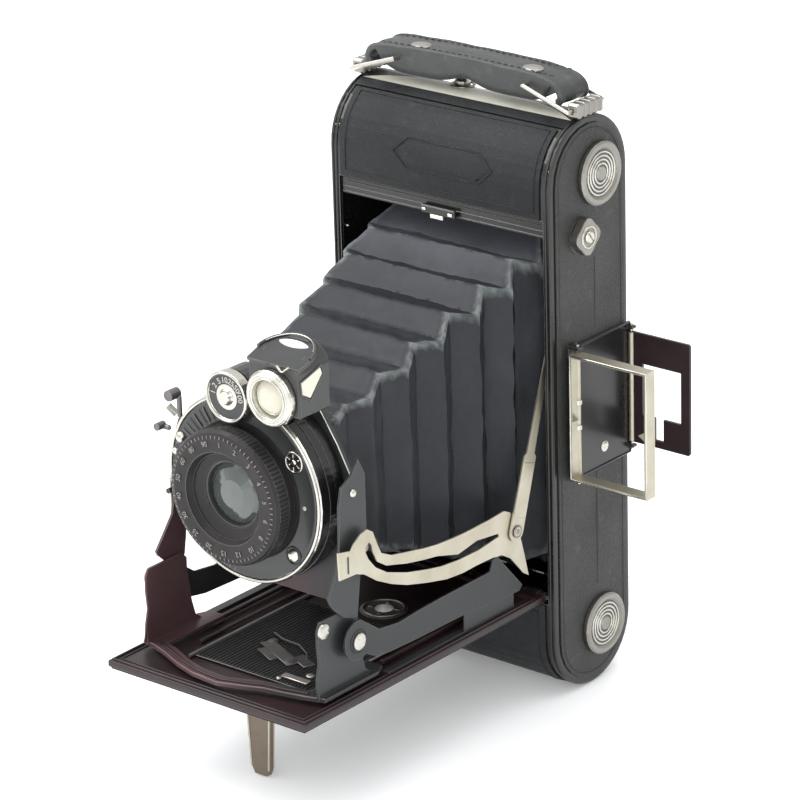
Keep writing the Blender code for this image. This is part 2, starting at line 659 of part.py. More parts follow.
# (y, z) of the side plates; the left one is narrower
SIDE_PLATES = {
    "right": [
        (-118.6, 9.0), (-121.4, 14.2), (-125.0, 9.8), (-129.2, 7.8), (-130.6, 2.0),
        (-130.9, -11.4), (-132.6, -18.0), (-135.0, -22.0), (-136.6, -25.0), (-135.4, -27.6),
        (-133.6, -29.6), (-130.0, -32.8), (-127.0, -34.0), (-123.8, -34.4), (-123.2, -30.0),
        (-122.0, -22.0), (-119.4, -12.0), (-118.6, -8.0)],
    "left": [
        (-118.6, 9.0), (-120.8, 11.0), (-123.2, 6.0), (-124.0, 0.0), (-124.6, -11.4),
        (-126.2, -18.4), (-130.2, -23.4), (-134.2, -28.2), (-133.4, -29.6), (-130.0, -32.8),
        (-127.0, -34.0), (-123.8, -34.4), (-121.8, -33.0), (-120.9, -28.0), (-119.9, -20.0),
        (-119.0, -12.0), (-118.6, -8.0)],
}
BOARD_PROFILE = [(14.5, 2.1), (16.4, 2.1), (16.4, 0.4), (21.5, 0.4), (21.5, -0.8),
                 (14.5, -0.8), (14.5, 2.1)]
HOUSING_PROFILE = [(0, 11.1), (SHUTTER_R - 1.6, 11.1), (SHUTTER_R - 1.6, 10.2),
                   (SHUTTER_R - 2.4, 10.2), (SHUTTER_R - 2.4, 0), (0, 0)]
RIM_PROFILE = [(SHUTTER_R - 1.3, 11.1), (SHUTTER_R - 0.5, 11.1), (SHUTTER_R, 10.5),
               (SHUTTER_R, 0.3), (SHUTTER_R - 2.1, 0.3), (SHUTTER_R - 2.1, 9.9),
               (SHUTTER_R - 1.3, 9.9), (SHUTTER_R - 1.3, 11.1)]
REAR_CELL_PROFILE = [(0, 0), (11.0, 0), (11.0, -5.0), (9.6, -5.8), (7.6, -6.6), (0, -6.6)]
RING_PROFILE = [(13.0, 6.4), (14.6, 9.3), (RING_R - 2.4, 9.8), (RING_R - 0.6, 9.0),
                (RING_R, 8.0), (RING_R, 3.4), (RING_R - 1.2, 2.6), (RING_R - 1.2, 0),
                (10.4, 0), (10.4, 5.2), (13.0, 6.4)]
LENS_PROFILE = [(0, 5.4), (4.5, 5.1), (8.0, 4.1), (9.8, 3.0), (9.8, 0), (0, 0)]
DIAL_PROFILE = [(0, 4.4), (1.8, 4.4), (2.6, 3.4), (6.6, 3.0), (7.2, 3.7), (8.0, 3.4),
                (8.0, 0.5), (0, 0.5)]


def standard_frame():
    """Front plate with its side plates and the bracket behind the brilliant finder."""
    hole = [(17 * math.cos(2 * math.pi * i / 24), 17 * math.sin(2 * math.pi * i / 24))
            for i in range(24)]
    frame = prism("standard_frame", FRAME, (-120.4, -119.0), ENAMEL, plane="xz", holes=[hole])
    for tag, side in SIDES:
        add(frame,
            prism("add_side_" + tag, SIDE_PLATES[tag], side_span(side, 34.5, 35.2)),
            box("add_web_" + tag, side_span(side, 30.6, 34.9), FRAME_WEB_Y, centred(7.5)))
    add(frame,
        box("add_finder_bracket", (9.0, 20.0), FRAME_WEB_Y, (22.0, 39.0)),
        box("add_finder_post", (14.0, 20.0), (-124.2, -119.4), (34.4, 38.6)))
    return frame


def dial_housing():
    """Round boss above the shutter, hollowed to sit against its rim."""
    housing = cylinder("speed_dial_housing", "y", (DIAL_X, -127.9, DIAL_Z), radius=7.6,
                       length=7.0, mat=ENAMEL)
    cut(housing, cylinder("cut_dial_base", "y", (0, -127.6, 0), radius=SHUTTER_R + 0.35,
                          length=18, n=40))
    return housing


def build_standard(slider_axis):
    """The standard and its fixed parts. Returns its axis."""
    fixed = [
        standard_frame(),
        lathe("lens_board", "y", (0, -118.3, 0), BOARD_PROFILE, ENAMEL),
        lathe("shutter_housing", "y", (0, SHUTTER_Y, 0), HOUSING_PROFILE, ENAMEL, n=40),
        lathe("shutter_rim", "y", (0, SHUTTER_Y, 0), RIM_PROFILE, NICKEL, n=40),
        lathe("rear_lens_cell", "y", (0, -120.5, 0), REAR_CELL_PROFILE, ENAMEL),
        dial_housing(),
    ]
    return pivot("standard_axis", SLIDER_AT, fixed, parent=slider_axis)


def build_lens_and_dial(standard):
    ring = lathe("focusing_ring", "y", (0, LENS_Y, 0), RING_PROFILE, ENAMEL, n=40)
    lens = lathe("front_lens", "y", (0, LENS_Y, 0), LENS_PROFILE, GLASS)
    pivot("focus_axis", (0, -136, 0), [ring, lens], parent=standard)
    dial = lathe("speed_dial", "y", (DIAL_X, -132.1, DIAL_Z), DIAL_PROFILE, NICKEL, n=28)
    pivot("dial_axis", (DIAL_X, -133, DIAL_Z), [dial], parent=standard)


# ---- brilliant finder ----
FINDER_X, FINDER_Z = 18.8, 38.0
ARCH_Z = 42.0                       # where the hood's arch springs
FINDER_SIDE = [(-138.2, 30.0), (-124.6, 30.0), (-124.6, 50.2), (-126.0, 50.2),
               (-138.2, 45.0)]      # (y, z)
FINDER_RING_PROFILE = [(0, 1.6), (5.4, 1.0), (6.0, 2.5), (7.8, 2.5), (8.6, 1.6), (8.6, 0),
                       (0, 0)]


def build_brilliant_finder(standard):
    finder = prism("brilliant_finder", FINDER_SIDE, centred(9.6, FINDER_X), ENAMEL, bevel=0.6)
    arch = [(FINDER_X + 9.8 * math.cos(math.pi * i / 14), ARCH_Z + 8.3 * math.sin(math.pi * i / 14))
            for i in range(15)]
    left, right = centred(11, FINDER_X)
    above_arch = arch + [(left, ARCH_Z), (left, 53), (right, 53), (right, ARCH_Z)]
    cut(finder,
        prism("cut_finder_arch", above_arch, (-140, -123), plane="xz"),
        box("cut_finder_top", centred(7.4, FINDER_X), (-136.6, -127.2), (44.0, 60)))
    ring = lathe("finder_lens_ring", "y", (FINDER_X - 0.2, -138.5, FINDER_Z - 2.8),
                 FINDER_RING_PROFILE, NICKEL, n=28)
    top_lens = box("finder_top_lens", centred(7.1, FINDER_X), (-136.3, -127.5), (44.3, 46.6),
                   GLASS, bevel=0.7)
    pivot("finder_swivel", (FINDER_X, -130, FINDER_Z), [finder, ring, top_lens],
          parent=standard)


# ---- levers on the left of the shutter ----
# lever, its x, y and z spans; knob, its centre, radius, length, segments; axis, its y
LEVERS = [
    ("aperture_lever", (-33.4, -29.9), (-131.0, -129.6), (11.0, 12.6),
     "add_iris_knob", (-32.9, -131.6, 12.3), 1.2, 3.2, 12, "iris_axis", -129.5),
    ("cocking_lever", (-26.6, -25.0), (-131.0, -129.6), (16.2, 23.4),
     "add_cock_knob", (-26.8, -132.0, 23.8), 1.7, 4.2, 12, "cock_axis", -130.3),
    ("release_lever", (-32.6, -30.0), (-128.0, -126.6), (-9.4, -7.8),
     "add_rel_spike", (-32.1, -128.2, -9.0), 0.85, 4.4, 10, "release_axis", -127.3),
]


def build_levers(standard):
    for name, x, y, z, knob, centre, radius, length, n, axis, axis_y in LEVERS:
        lever = box(name, x, y, z, NICKEL, bevel=0.4)
        add(lever, cylinder(knob, "y", centre, radius, length, n=n))
        pivot(axis, (0, axis_y, 0), [lever], parent=standard)


# ---- bellows: pleated leather tube, one closed thin wall ----
PLEATS = 7
PLEAT_DEPTH = 2.6
BELLOWS_BACK, BELLOWS_FRONT = -11.0, -116.6
BACK_HALF_X, BACK_HALF_Z = 32.4, 52.5
FRONT_HALF = 21.0                   # half width and half height at the front
BELLOWS_WALL = 1.2
CORNER = 5.0                        # cut off each corner


def bellows_rings(bm, inset):
    """Rings of eight vertices from back to front, every second one drawn in."""
    rings = []
    for i in range(2 * PLEATS + 1):
        t = i / (2 * PLEATS)
        fold = PLEAT_DEPTH * (i % 2) + inset
        y = BELLOWS_BACK + (BELLOWS_FRONT - BELLOWS_BACK) * t
        hx = BACK_HALF_X + (FRONT_HALF - BACK_HALF_X) * t - fold
        hz = BACK_HALF_Z + (FRONT_HALF - BACK_HALF_Z) * t - fold
        cx = hx - CORNER
        cz = hz - CORNER
        points = [(hx, cz), (cx, hz), (-cx, hz), (-hx, cz),
                  (-hx, -cz), (-cx, -hz), (cx, -hz), (hx, -cz)]
        rings.append([bm.verts.new((x * MM, y * MM, z * MM)) for x, z in points])
    return rings


def build_bellows():
    bm = bmesh.new()
    outer = bellows_rings(bm, 0.0)
    inner = bellows_rings(bm, BELLOWS_WALL)
    joined = [*zip(outer, outer[1:]), *zip(inner, inner[1:]),
              (outer[0], inner[0]), (outer[-1], inner[-1])]
    for ring, following in joined:
        for i in range(8):
            j = (i + 1) % 8
            bm.faces.new((ring[i], ring[j], following[j], following[i]))
    from_bmesh("bellows", bm, BELLOWS)


def build_camera():
    build_shell()
    build_coverings()
    build_body_fittings()
    build_back()
    build_spools()
    build_winding_key()
    build_back_lock()
    build_release_button()
    build_finder_base()
    build_finder_front_frame()
    build_finder_rear_frame()
    build_handle()
    build_bed()
    build_base_bracket()
    slider_axis = build_linkage()
    standard = build_standard(slider_axis)
    build_lens_and_dial(standard)
    build_brilliant_finder(standard)
    build_levers(standard)
    build_bellows()


build_camera()
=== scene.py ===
"""Looks of a folding roll-film camera, standing upright with its bed down and bellows drawn out.

Frame: X runs to the right as seen from the front, the lens faces -Y and Z is up.
Lengths are in mm unless a name or comment says metres; shader coordinates are in metres.
"""

import bmesh
import bpy
import math
from mathutils import Matrix, Vector, noise


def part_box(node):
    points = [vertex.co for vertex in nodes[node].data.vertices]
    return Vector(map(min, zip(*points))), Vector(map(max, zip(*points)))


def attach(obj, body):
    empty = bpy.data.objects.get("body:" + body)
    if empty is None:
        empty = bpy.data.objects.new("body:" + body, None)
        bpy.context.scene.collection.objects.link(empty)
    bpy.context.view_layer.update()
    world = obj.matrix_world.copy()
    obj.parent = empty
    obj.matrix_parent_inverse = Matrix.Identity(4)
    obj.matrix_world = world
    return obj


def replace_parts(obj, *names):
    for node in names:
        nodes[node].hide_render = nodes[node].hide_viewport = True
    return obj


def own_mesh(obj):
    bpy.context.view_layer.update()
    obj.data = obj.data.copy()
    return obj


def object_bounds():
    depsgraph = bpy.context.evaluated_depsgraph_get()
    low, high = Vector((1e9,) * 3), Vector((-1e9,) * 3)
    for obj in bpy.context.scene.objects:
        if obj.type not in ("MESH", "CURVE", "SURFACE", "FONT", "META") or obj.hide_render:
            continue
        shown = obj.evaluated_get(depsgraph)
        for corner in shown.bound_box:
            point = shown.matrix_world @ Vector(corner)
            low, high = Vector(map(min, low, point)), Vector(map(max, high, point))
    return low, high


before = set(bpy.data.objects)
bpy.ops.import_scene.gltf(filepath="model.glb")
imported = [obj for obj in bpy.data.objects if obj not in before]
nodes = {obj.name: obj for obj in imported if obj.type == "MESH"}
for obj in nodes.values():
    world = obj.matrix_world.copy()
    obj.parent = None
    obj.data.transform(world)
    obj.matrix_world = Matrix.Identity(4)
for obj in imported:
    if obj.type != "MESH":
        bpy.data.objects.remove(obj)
cad_low, cad_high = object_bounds()
scene = bpy.context.scene

MM = 0.001
# tag in names, sign of X, axis pointing outward
SIDES = (("right", 1, "x"), ("left", -1, "-x"))


# ------------------------------------------------------------ shader helper ----
class Shader:
    """A material with one Principled shader, and short ways to add nodes to it."""

    def __init__(self, name, base, rough, metal=0.0):
        self.material = bpy.data.materials.new(name)
        self.material.use_nodes = True
        self.tree = self.material.node_tree
        self.principled = self.tree.nodes["Principled BSDF"]
        self.set("Base Color", (*base, 1))
        self.set("Roughness", rough)
        self.set("Metallic", metal)
        self.coords = self.node("ShaderNodeTexCoord").outputs["Object"]

    def set(self, key, value):
        self.principled.inputs[key].default_value = value

    def node(self, kind, **properties):
        node = self.tree.nodes.new(kind)
        for key, value in properties.items():
            setattr(node, key, value)
        return node

    def link(self, output, socket):
        self.tree.links.new(output, socket)

    def feed(self, socket, value):
        """Set a number or an RGB tuple on a socket, or link an output to it."""
        if isinstance(value, tuple):
            socket.default_value = (*value, 1)
        elif isinstance(value, (int, float)):
            socket.default_value = value
        else:
            self.link(value, socket)

    def noise(self, scale, detail=4.0, rough=0.55, vector=None):
        node = self.node("ShaderNodeTexNoise")
        node.inputs["Scale"].default_value = scale
        node.inputs["Detail"].default_value = detail
        node.inputs["Roughness"].default_value = rough
        self.link(vector or self.coords, node.inputs["Vector"])
        return node.outputs["Fac"]

    def cells(self, scale, contrast, vector=None):
        """Distance to the cell borders, raised by contrast and clamped."""
        node = self.node("ShaderNodeTexVoronoi", feature="DISTANCE_TO_EDGE")
        node.inputs["Scale"].default_value = scale
        self.link(vector or self.coords, node.inputs["Vector"])
        return self.math("MULTIPLY", node.outputs["Distance"], contrast, clamp=True)

    def stretched(self, *scale):
        node = self.node("ShaderNodeMapping")
        node.inputs["Scale"].default_value = scale
        self.link(self.coords, node.inputs["Vector"])
        return node.outputs["Vector"]

    def split(self, vector):
        node = self.node("ShaderNodeSeparateXYZ")
        self.link(vector, node.inputs[0])
        return node.outputs

    def normal(self):
        return self.node("ShaderNodeNewGeometry").outputs["Normal"]

    def ramp(self, factor, stops):
        """stops is a list of (position, RGB)."""
        node = self.node("ShaderNodeValToRGB")
        elements = node.color_ramp.elements
        while len(elements) < len(stops):
            elements.new(1.0)
        for element, (position, colour) in zip(elements, stops):
            element.position = position
            element.color = (*colour, 1)
        self.link(factor, node.inputs["Fac"])
        return node.outputs["Color"]

    def mask(self, factor, start, end):
        return self.ramp(factor, [(start, (0, 0, 0)), (end, (1, 1, 1))])

    def math(self, operation, a, b=0.0, clamp=False):
        node = self.node("ShaderNodeMath", operation=operation, use_clamp=clamp)
        self.feed(node.inputs[0], a)
        self.feed(node.inputs[1], b)
        return node.outputs[0]

    def add(self, a, b):
        return self.math("ADD", a, b)

    def subtract(self, a, b):
        return self.math("SUBTRACT", a, b)

    def times(self, a, b):
        return self.math("MULTIPLY", a, b)

    def weighted(self, a, weight_a, b, weight_b):
        return self.add(self.times(a, weight_a), self.times(b, weight_b))

    def mix(self, factor, a, b):
        node = self.node("ShaderNodeMix", data_type="RGBA")
        # sockets 0, 6 and 7 are the float factor and the two colours
        for index, value in ((0, factor), (6, a), (7, b)):
            self.feed(node.inputs[index], value)
        return node.outputs[2]

    def remap(self, value, start=0.0, end=1.0, low=0.0, high=1.0):
        node = self.node("ShaderNodeMapRange", clamp=True)
        limits = {"From Min": start, "From Max": end, "To Min": low, "To Max": high}
        for key, limit in limits.items():
            node.inputs[key].default_value = limit
        self.link(value, node.inputs["Value"])
        return node.outputs["Result"]

    def edges(self, radius, start, end):
        """Mask that is 1 along sharp edges, broken up by noise: where a coat has rubbed through."""
        bevel = self.node("ShaderNodeBevel", samples=4)
        bevel.inputs["Radius"].default_value = radius * MM
        normal = self.normal()
        dot = self.node("ShaderNodeVectorMath", operation="DOT_PRODUCT")
        self.link(bevel.outputs["Normal"], dot.inputs[0])
        self.link(normal, dot.inputs[1])
        sharpness = self.subtract(1.0, dot.outputs["Value"])
        ragged = self.times(self.subtract(self.noise(900.0, detail=3.0), 0.5), 0.6)
        broken = self.add(self.times(sharpness, 1.0), self.times(ragged, sharpness))
        return self.remap(broken, start, end)

    def colour(self, output):
        self.link(output, self.principled.inputs["Base Color"])

    def rough(self, factor, low, high):
        result = self.remap(factor, low=low, high=high)
        self.link(result, self.principled.inputs["Roughness"])

    def bump(self, *layers):
        """Each layer is (height output, strength, distance in mm)."""
        previous = None
        for height, strength, distance in layers:
            node = self.node("ShaderNodeBump")
            node.inputs["Strength"].default_value = strength
            node.inputs["Distance"].default_value = distance * MM
            self.link(height, node.inputs["Height"])
            if previous:
                self.link(previous, node.inputs["Normal"])
            previous = node.outputs["Normal"]
        self.link(previous, self.principled.inputs["Normal"])


def scaled(colour, gain, lift=0.0):
    return tuple(min(1, channel * gain + lift) for channel in colour)


# ---------------------------------------------------------------- materials ----
def leather(name, dark, light, grain=1500.0, depth=0.16, rough=(0.42, 0.62), spec=0.45):
    """Pebbled leather. grain is the cell scale, depth the cell relief in mm."""
    m = Shader(name, dark, 0.5)
    m.set("Specular IOR Level", spec)
    # a colour noise shifts the cells so that they don't look regular
    warp = m.node("ShaderNodeVectorMath", operation="ADD")
    shift = m.noise(500.0, detail=2.0, rough=0.5).node.outputs["Color"]
    small = m.node("ShaderNodeVectorMath", operation="SCALE")
    small.inputs["Scale"].default_value = 0.0012
    m.link(shift, small.inputs[0])
    m.link(m.coords, warp.inputs[0])
    m.link(small.outputs[0], warp.inputs[1])
    cells = m.cells(grain, contrast=3.2, vector=warp.outputs[0])
    fine = m.noise(4200.0, detail=2.0)
    broad = m.noise(38.0, detail=5.0)
    spots = m.noise(240.0)
    colour = m.ramp(m.weighted(broad, 0.7, cells, 0.22), [(0.2, dark), (0.8, light)])
    scuffs = m.times(m.mask(spots, 0.60, 0.78), 0.35)
    m.colour(m.mix(scuffs, colour, scaled(light, gain=1.7, lift=0.01)))
    m.rough(m.weighted(broad, 0.6, cells, 0.4), low=rough[1], high=rough[0])
    m.bump((cells, 0.5, depth), (fine, 0.16, 0.06), (broad, 0.2, 0.8))
    return m.material


def enamel(name, base, tint, wear, coat, rough=0.2, radius=0.35, metal=(0.62, 0.60, 0.54),
           rub_end=0.22, right=None):
    """Enamel rubbed through to metal along its edges; right is a colour pair for the +X side."""
    m = Shader(name, base, rough)
    m.set("Coat Weight", coat)
    m.set("Coat Roughness", 0.12)
    broad = m.noise(55.0, detail=5.0)
    fine = m.noise(1600.0, detail=3.0)
    colour = m.ramp(broad, [(0.25, base), (0.8, tint)])
    if right:
        side = m.remap(m.split(m.coords)["X"], 0.004, 0.022)
        colour = m.mix(side, colour, m.ramp(broad, [(0.25, right[0]), (0.8, right[1])]))
    rubbed = m.times(m.edges(radius, 0.03, rub_end), wear)
    chips = m.mask(m.noise(420.0, detail=5.0, rough=0.7), 0.71, 0.74)
    chipped = m.times(m.edges(radius * 4, 0.02, 0.3), chips)
    bare = m.math("MAXIMUM", rubbed, m.times(chipped, min(1.0, wear * 1.3)))
    m.colour(m.mix(bare, colour, metal))
    m.link(bare, m.principled.inputs["Metallic"])
    m.rough(m.add(broad, m.times(fine, 0.25)), low=rough * 0.8, high=rough * 1.9)
    m.bump((fine, 0.10, 0.05), (broad, 0.12, 0.5))
    return m.material


def nickel(name, base, tarnish, rough, amount):
    """Plated metal; amount is how far its broad patches go towards the tarnish."""
    m = Shader(name, base, rough, metal=1.0)
    broad = m.noise(95.0, detail=5.0)
    pits = m.noise(900.0, rough=0.7)
    patch = tuple(a * (1 - amount) + b * amount for a, b in zip(base, tarnish))
    colour = m.ramp(broad, [(0.35, base), (0.85, patch)])
    spots = m.mask(pits, 0.66, 0.80)
    colour = m.mix(m.times(spots, 0.5), colour, scaled(tarnish, gain=0.45))
    polished = m.edges(0.3, 0.05, 0.4)
    m.colour(m.mix(m.times(polished, 0.35), colour, (0.93, 0.91, 0.85)))
    m.rough(m.weighted(broad, 0.7, pits, 0.3), low=rough * 0.7, high=rough * 1.9)
    m.bump((pits, 0.14, 0.05), (broad, 0.1, 0.5))
    return m.material


def glass(name, tint, rough, body, coat=1.0):
    """Polished glass; body is the share that is not transmitted."""
    m = Shader(name, tint, rough)
    m.set("IOR", 1.52)
    m.set("Specular IOR Level", 0.8)
    m.set("Coat Weight", coat)
    m.set("Coat Roughness", 0.02)
    m.set("Transmission Weight", 1.0 - body)
    smear = m.noise(160.0)
    m.colour(m.ramp(smear, [(0.3, tint), (0.9, scaled(tint, gain=1.35))]))
    m.rough(smear, low=rough, high=rough + 0.04)
    m.bump((smear, 0.005, 0.1))
    return m.material


def paint(name, base, rough=0.45, speck=0.3):
    """Matt paint; speck is how much its small losses darken it."""
    m = Shader(name, base, rough)
    losses = m.noise(1400.0, detail=3.0)
    m.colour(m.ramp(losses, [(0.30, scaled(base, gain=1 - speck)), (0.62, base)]))
    m.rough(losses, low=rough, high=rough + 0.2)
    m.bump((losses, 0.1, 0.03))
    return m.material


def part_bare_top():
    """Top strip: leather to the front, a lens-shaped bare band, and dark enamel under the strap;
    the band's arched back edge follows the strap's shadow, so the dark beyond it is partly painted
    shadow of the strap.
    """
    m = Shader("top_plate_band_and_strap_shadow", (0.5, 0.5, 0.5), 0.35)
    place = m.split(m.coords)
    half_length, arch_rise = 0.0385, 0.0098
    arch_ends_y, leather_edge_y = -0.0236, -0.0246

    def step(value):
        return m.remap(value, -0.00012, 0.00012)

    across = m.times(place["X"], 1 / half_length)
    arch = m.subtract(1.0, m.times(across, across))
    edge = m.add(m.times(arch, arch_rise), arch_ends_y)
    band_before_strap_shadow = step(m.subtract(edge, place["Y"]))
    behind_leather = step(m.subtract(place["Y"], leather_edge_y))
    broad = m.noise(220.0, detail=5.0)
    grain = m.noise(900.0, detail=3.0)
    # dark: black enamel behind the arch, partly painted shadow of the strap
    dark = m.ramp(broad, [(0.3, (0.008, 0.007, 0.007)), (0.8, (0.022, 0.018, 0.016))])
    hide = m.ramp(grain, [(0.3, (0.007, 0.008, 0.009)), (0.8, (0.021, 0.023, 0.027))])
    bare = m.ramp(broad, [(0.3, (0.55, 0.54, 0.45)), (0.8, (0.68, 0.67, 0.58))])
    m.colour(m.mix(behind_leather, hide, m.mix(band_before_strap_shadow, dark, bare)))
    m.rough(broad, low=0.32, high=0.52)
    m.bump((broad, 0.12, 0.1), (grain, 0.12, 0.05))
    return m.material


def rim_metal():
    """Bright metal where the rim faces the front, black enamel elsewhere."""
    m = Shader("shutter_rim_part_enamelled", (0.8, 0.8, 0.77), 0.2, metal=1.0)
    forward = m.times(m.split(m.normal())["Y"], -1.0)
    facing = m.remap(forward, 0.25, 0.5)
    patches = m.noise(300.0)
    black = m.ramp(patches, [(0.3, (0.006, 0.006, 0.006)), (0.8, (0.014, 0.014, 0.014))])
    bright = m.ramp(patches, [(0.3, (0.80, 0.80, 0.77)), (0.8, (0.6, 0.58, 0.52))])
    m.colour(m.mix(facing, black, bright))
    m.link(facing, m.principled.inputs["Metallic"])
    m.rough(patches, low=0.16, high=0.32)
    m.bump((patches, 0.08, 0.1))
    return m.material


def bellows_leather():
    """Blue-black leather, paler where the "worn" attribute is high; painted light on the upward
    faces at the rear, painted shade on the upward faces at the front and on the side faces.
    """
    m = Shader("bellows_blue_black_leather", (0.02, 0.024, 0.032), 0.5)
    m.set("Specular IOR Level", 0.4)
    worn = m.node("ShaderNodeAttribute", attribute_name="worn")
    broad = m.noise(30.0, detail=6.0)
    mid = m.noise(210.0, detail=5.0, rough=0.65)
    grain = m.cells(2100.0, contrast=3.0)
    streak = m.noise(1.0, rough=0.6, vector=m.stretched(420, 420, 26))
    colour = m.ramp(m.weighted(broad, 0.6, mid, 0.4), [
        (0.30, (0.008, 0.009, 0.013)), (0.52, (0.017, 0.019, 0.027)),
        (0.75, (0.032, 0.035, 0.046))])
    facing = m.split(m.normal())
    sideways = m.math("ABSOLUTE", facing["X"])
    side_shade = m.math("MULTIPLY", sideways, 0.62, clamp=True)
    colour = m.mix(side_shade, colour, (0.006, 0.0068, 0.0085))
    rubbed = m.times(worn.outputs["Fac"], m.add(mid, 0.35))
    rubbed = m.mask(rubbed, 0.30, 0.85)
    y = m.split(m.coords)["Y"]
    # painted light: upward faces towards the rear are lightened to a pale grey
    rear = m.remap(y, -0.044, -0.032)
    upward = m.math("MAXIMUM", facing["Z"], 0.0)
    colour = m.mix(m.times(m.times(rear, upward), 0.55), colour, (0.125, 0.130, 0.150))
    # painted shade: upward faces towards the front are darkened
    front = m.remap(y, -0.046, -0.056)
    colour = m.mix(m.times(m.times(front, upward), 0.85), colour, (0.006, 0.007, 0.0095))
    m.colour(m.mix(m.times(rubbed, 0.75), colour, (0.17, 0.19, 0.19)))
    m.rough(m.weighted(broad, 0.6, streak, 0.4), low=0.62, high=0.42)
    m.bump((grain, 0.35, 0.08), (mid, 0.35, 0.35), (streak, 0.15, 0.25))
    return m.material


def floor_material():
    m = Shader("pale_floor", (0.92, 0.93, 0.94), 0.55)
    patches = m.noise(3.0, detail=3.0)
    m.colour(m.ramp(patches, [(0.2, (0.90, 0.915, 0.93)), (0.9, (0.94, 0.945, 0.95))]))
    m.set("Specular IOR Level", 0.2)
    m.set("Emission Color", (1.0, 1.0, 1.0, 1.0))
    m.set("Emission Strength", 0.17)
    m.bump((m.noise(700.0), 0.02, 0.05))
    return m.material


LEATHER = leather("grained_black_leather", dark=(0.0068, 0.0077, 0.0088),
                  light=(0.021, 0.0238, 0.027), spec=0.29)
# the side leather is a lighter copy of the grained black leather: painted light on the side faces
SIDE_LEATHER_PAINTED_LIGHTER = leather("side_black_leather_painted_lighter", dark=(0.021, 0.021, 0.0205),
                       light=(0.060, 0.060, 0.058), grain=1300.0, spec=0.35)
STRAP = leather("strap_black_leather", dark=(0.014, 0.015, 0.015), light=(0.060, 0.066, 0.063),
                grain=2100.0, depth=0.08, rough=(0.30, 0.50), spec=0.6)
STRAP_EDGE = leather("strap_cut_edge", dark=(0.008, 0.008, 0.008), light=(0.045, 0.042, 0.038),
                     grain=900.0, depth=0.3, rough=(0.5, 0.8))
ENAMEL = enamel("gloss_black_enamel", base=(0.005, 0.005, 0.005), tint=(0.012, 0.011, 0.011),
                wear=0.3, coat=0.1)
BODY = enamel("body_black_enamel", base=(0.006, 0.006, 0.006), tint=(0.015, 0.014, 0.012),
              wear=0.4, coat=0.12, radius=0.5, rub_end=0.3)
BROWN = enamel("aged_red_brown_enamel", base=(0.009, 0.0032, 0.0042), tint=(0.022, 0.008, 0.010),
               wear=0.4, coat=0.04, rough=0.30, metal=(0.42, 0.36, 0.35))
GREY_PAIR = ((0.014, 0.016, 0.017), (0.030, 0.033, 0.034))
BASE = enamel("base_two_tone_enamel", base=(0.050, 0.025, 0.028), tint=(0.10, 0.051, 0.056),
              wear=0.35, coat=0.05, rough=0.30, metal=(0.42, 0.36, 0.35), right=GREY_PAIR)
STANDARD = enamel("standard_two_tone_enamel", base=(0.050, 0.026, 0.029),
                  tint=(0.10, 0.054, 0.058), wear=0.25, coat=0.05, rough=0.30,
                  metal=(0.42, 0.40, 0.38), right=GREY_PAIR)
GREY = enamel("grey_black_enamel", base=(0.012, 0.013, 0.014), tint=(0.026, 0.028, 0.029),
              wear=0.25, coat=0.05, rough=0.34)
SHUTTER = enamel("shutter_black_enamel", base=(0.014, 0.0145, 0.0145),
                 tint=(0.033, 0.034, 0.0345), wear=0.3, coat=0.2, rough=0.24)
CONE = enamel("matt_lens_black", base=(0.0045, 0.0032, 0.0036), tint=(0.010, 0.0072, 0.0078),
              wear=0.2, coat=0.1, rough=0.42)
NICKEL = nickel("dull_nickel_plate", base=(0.30, 0.29, 0.265), tarnish=(0.195, 0.172, 0.128),
                rough=0.28, amount=0.55)
CREAM = nickel("warm_nickel_plate", base=(0.53, 0.50, 0.41), tarnish=(0.37, 0.32, 0.22),
               rough=0.36, amount=0.6)
BRIGHT = nickel("bright_nickel_plate", base=(0.60, 0.59, 0.54), tarnish=(0.38, 0.35, 0.28),
                rough=0.2, amount=0.5)
TOP = part_bare_top()
RIM = rim_metal()
STEEL = nickel("dull_steel", base=(0.38, 0.37, 0.36), tarnish=(0.22, 0.18, 0.15),
               rough=0.36, amount=0.6)
# a darker, browner copy of the nickel plate for the foot
FOOT = nickel("darker_foot_plate", base=(0.22, 0.185, 0.15), tarnish=(0.16, 0.125, 0.09),
              rough=0.4, amount=0.6)
LIP = nickel("rubbed_brown_edge", base=(0.24, 0.17, 0.17), tarnish=(0.14, 0.09, 0.09),
             rough=0.45, amount=0.6)
LEVER = nickel("dark_lever_steel", base=(0.20, 0.19, 0.19), tarnish=(0.12, 0.10, 0.09),
               rough=0.4, amount=0.6)
WORN = nickel("worn_bare_metal", base=(0.66, 0.62, 0.58), tarnish=(0.40, 0.34, 0.30),
              rough=0.34, amount=0.6)
LENS = glass("coated_lens_glass", tint=(0.052, 0.063, 0.060), rough=0.12, body=0.99, coat=0.35)
FINDER_GLASS = glass("finder_glass", tint=(0.56, 0.53, 0.42), rough=0.08, body=0.8)
EYE = glass("pale_eye_glass", tint=(0.74, 0.76, 0.76), rough=0.12, body=0.9)
RED = glass("dark_red_glass", tint=(0.35, 0.012, 0.010), rough=0.06, body=0.8)
WHITE = paint("white_filled_marks", base=(0.50, 0.49, 0.46))
MARKS = paint("aged_filled_marks", base=(0.26, 0.23, 0.22), speck=0.6)
IVORY = paint("ivory_panel", base=(0.72, 0.70, 0.58), rough=0.35, speck=0.15)

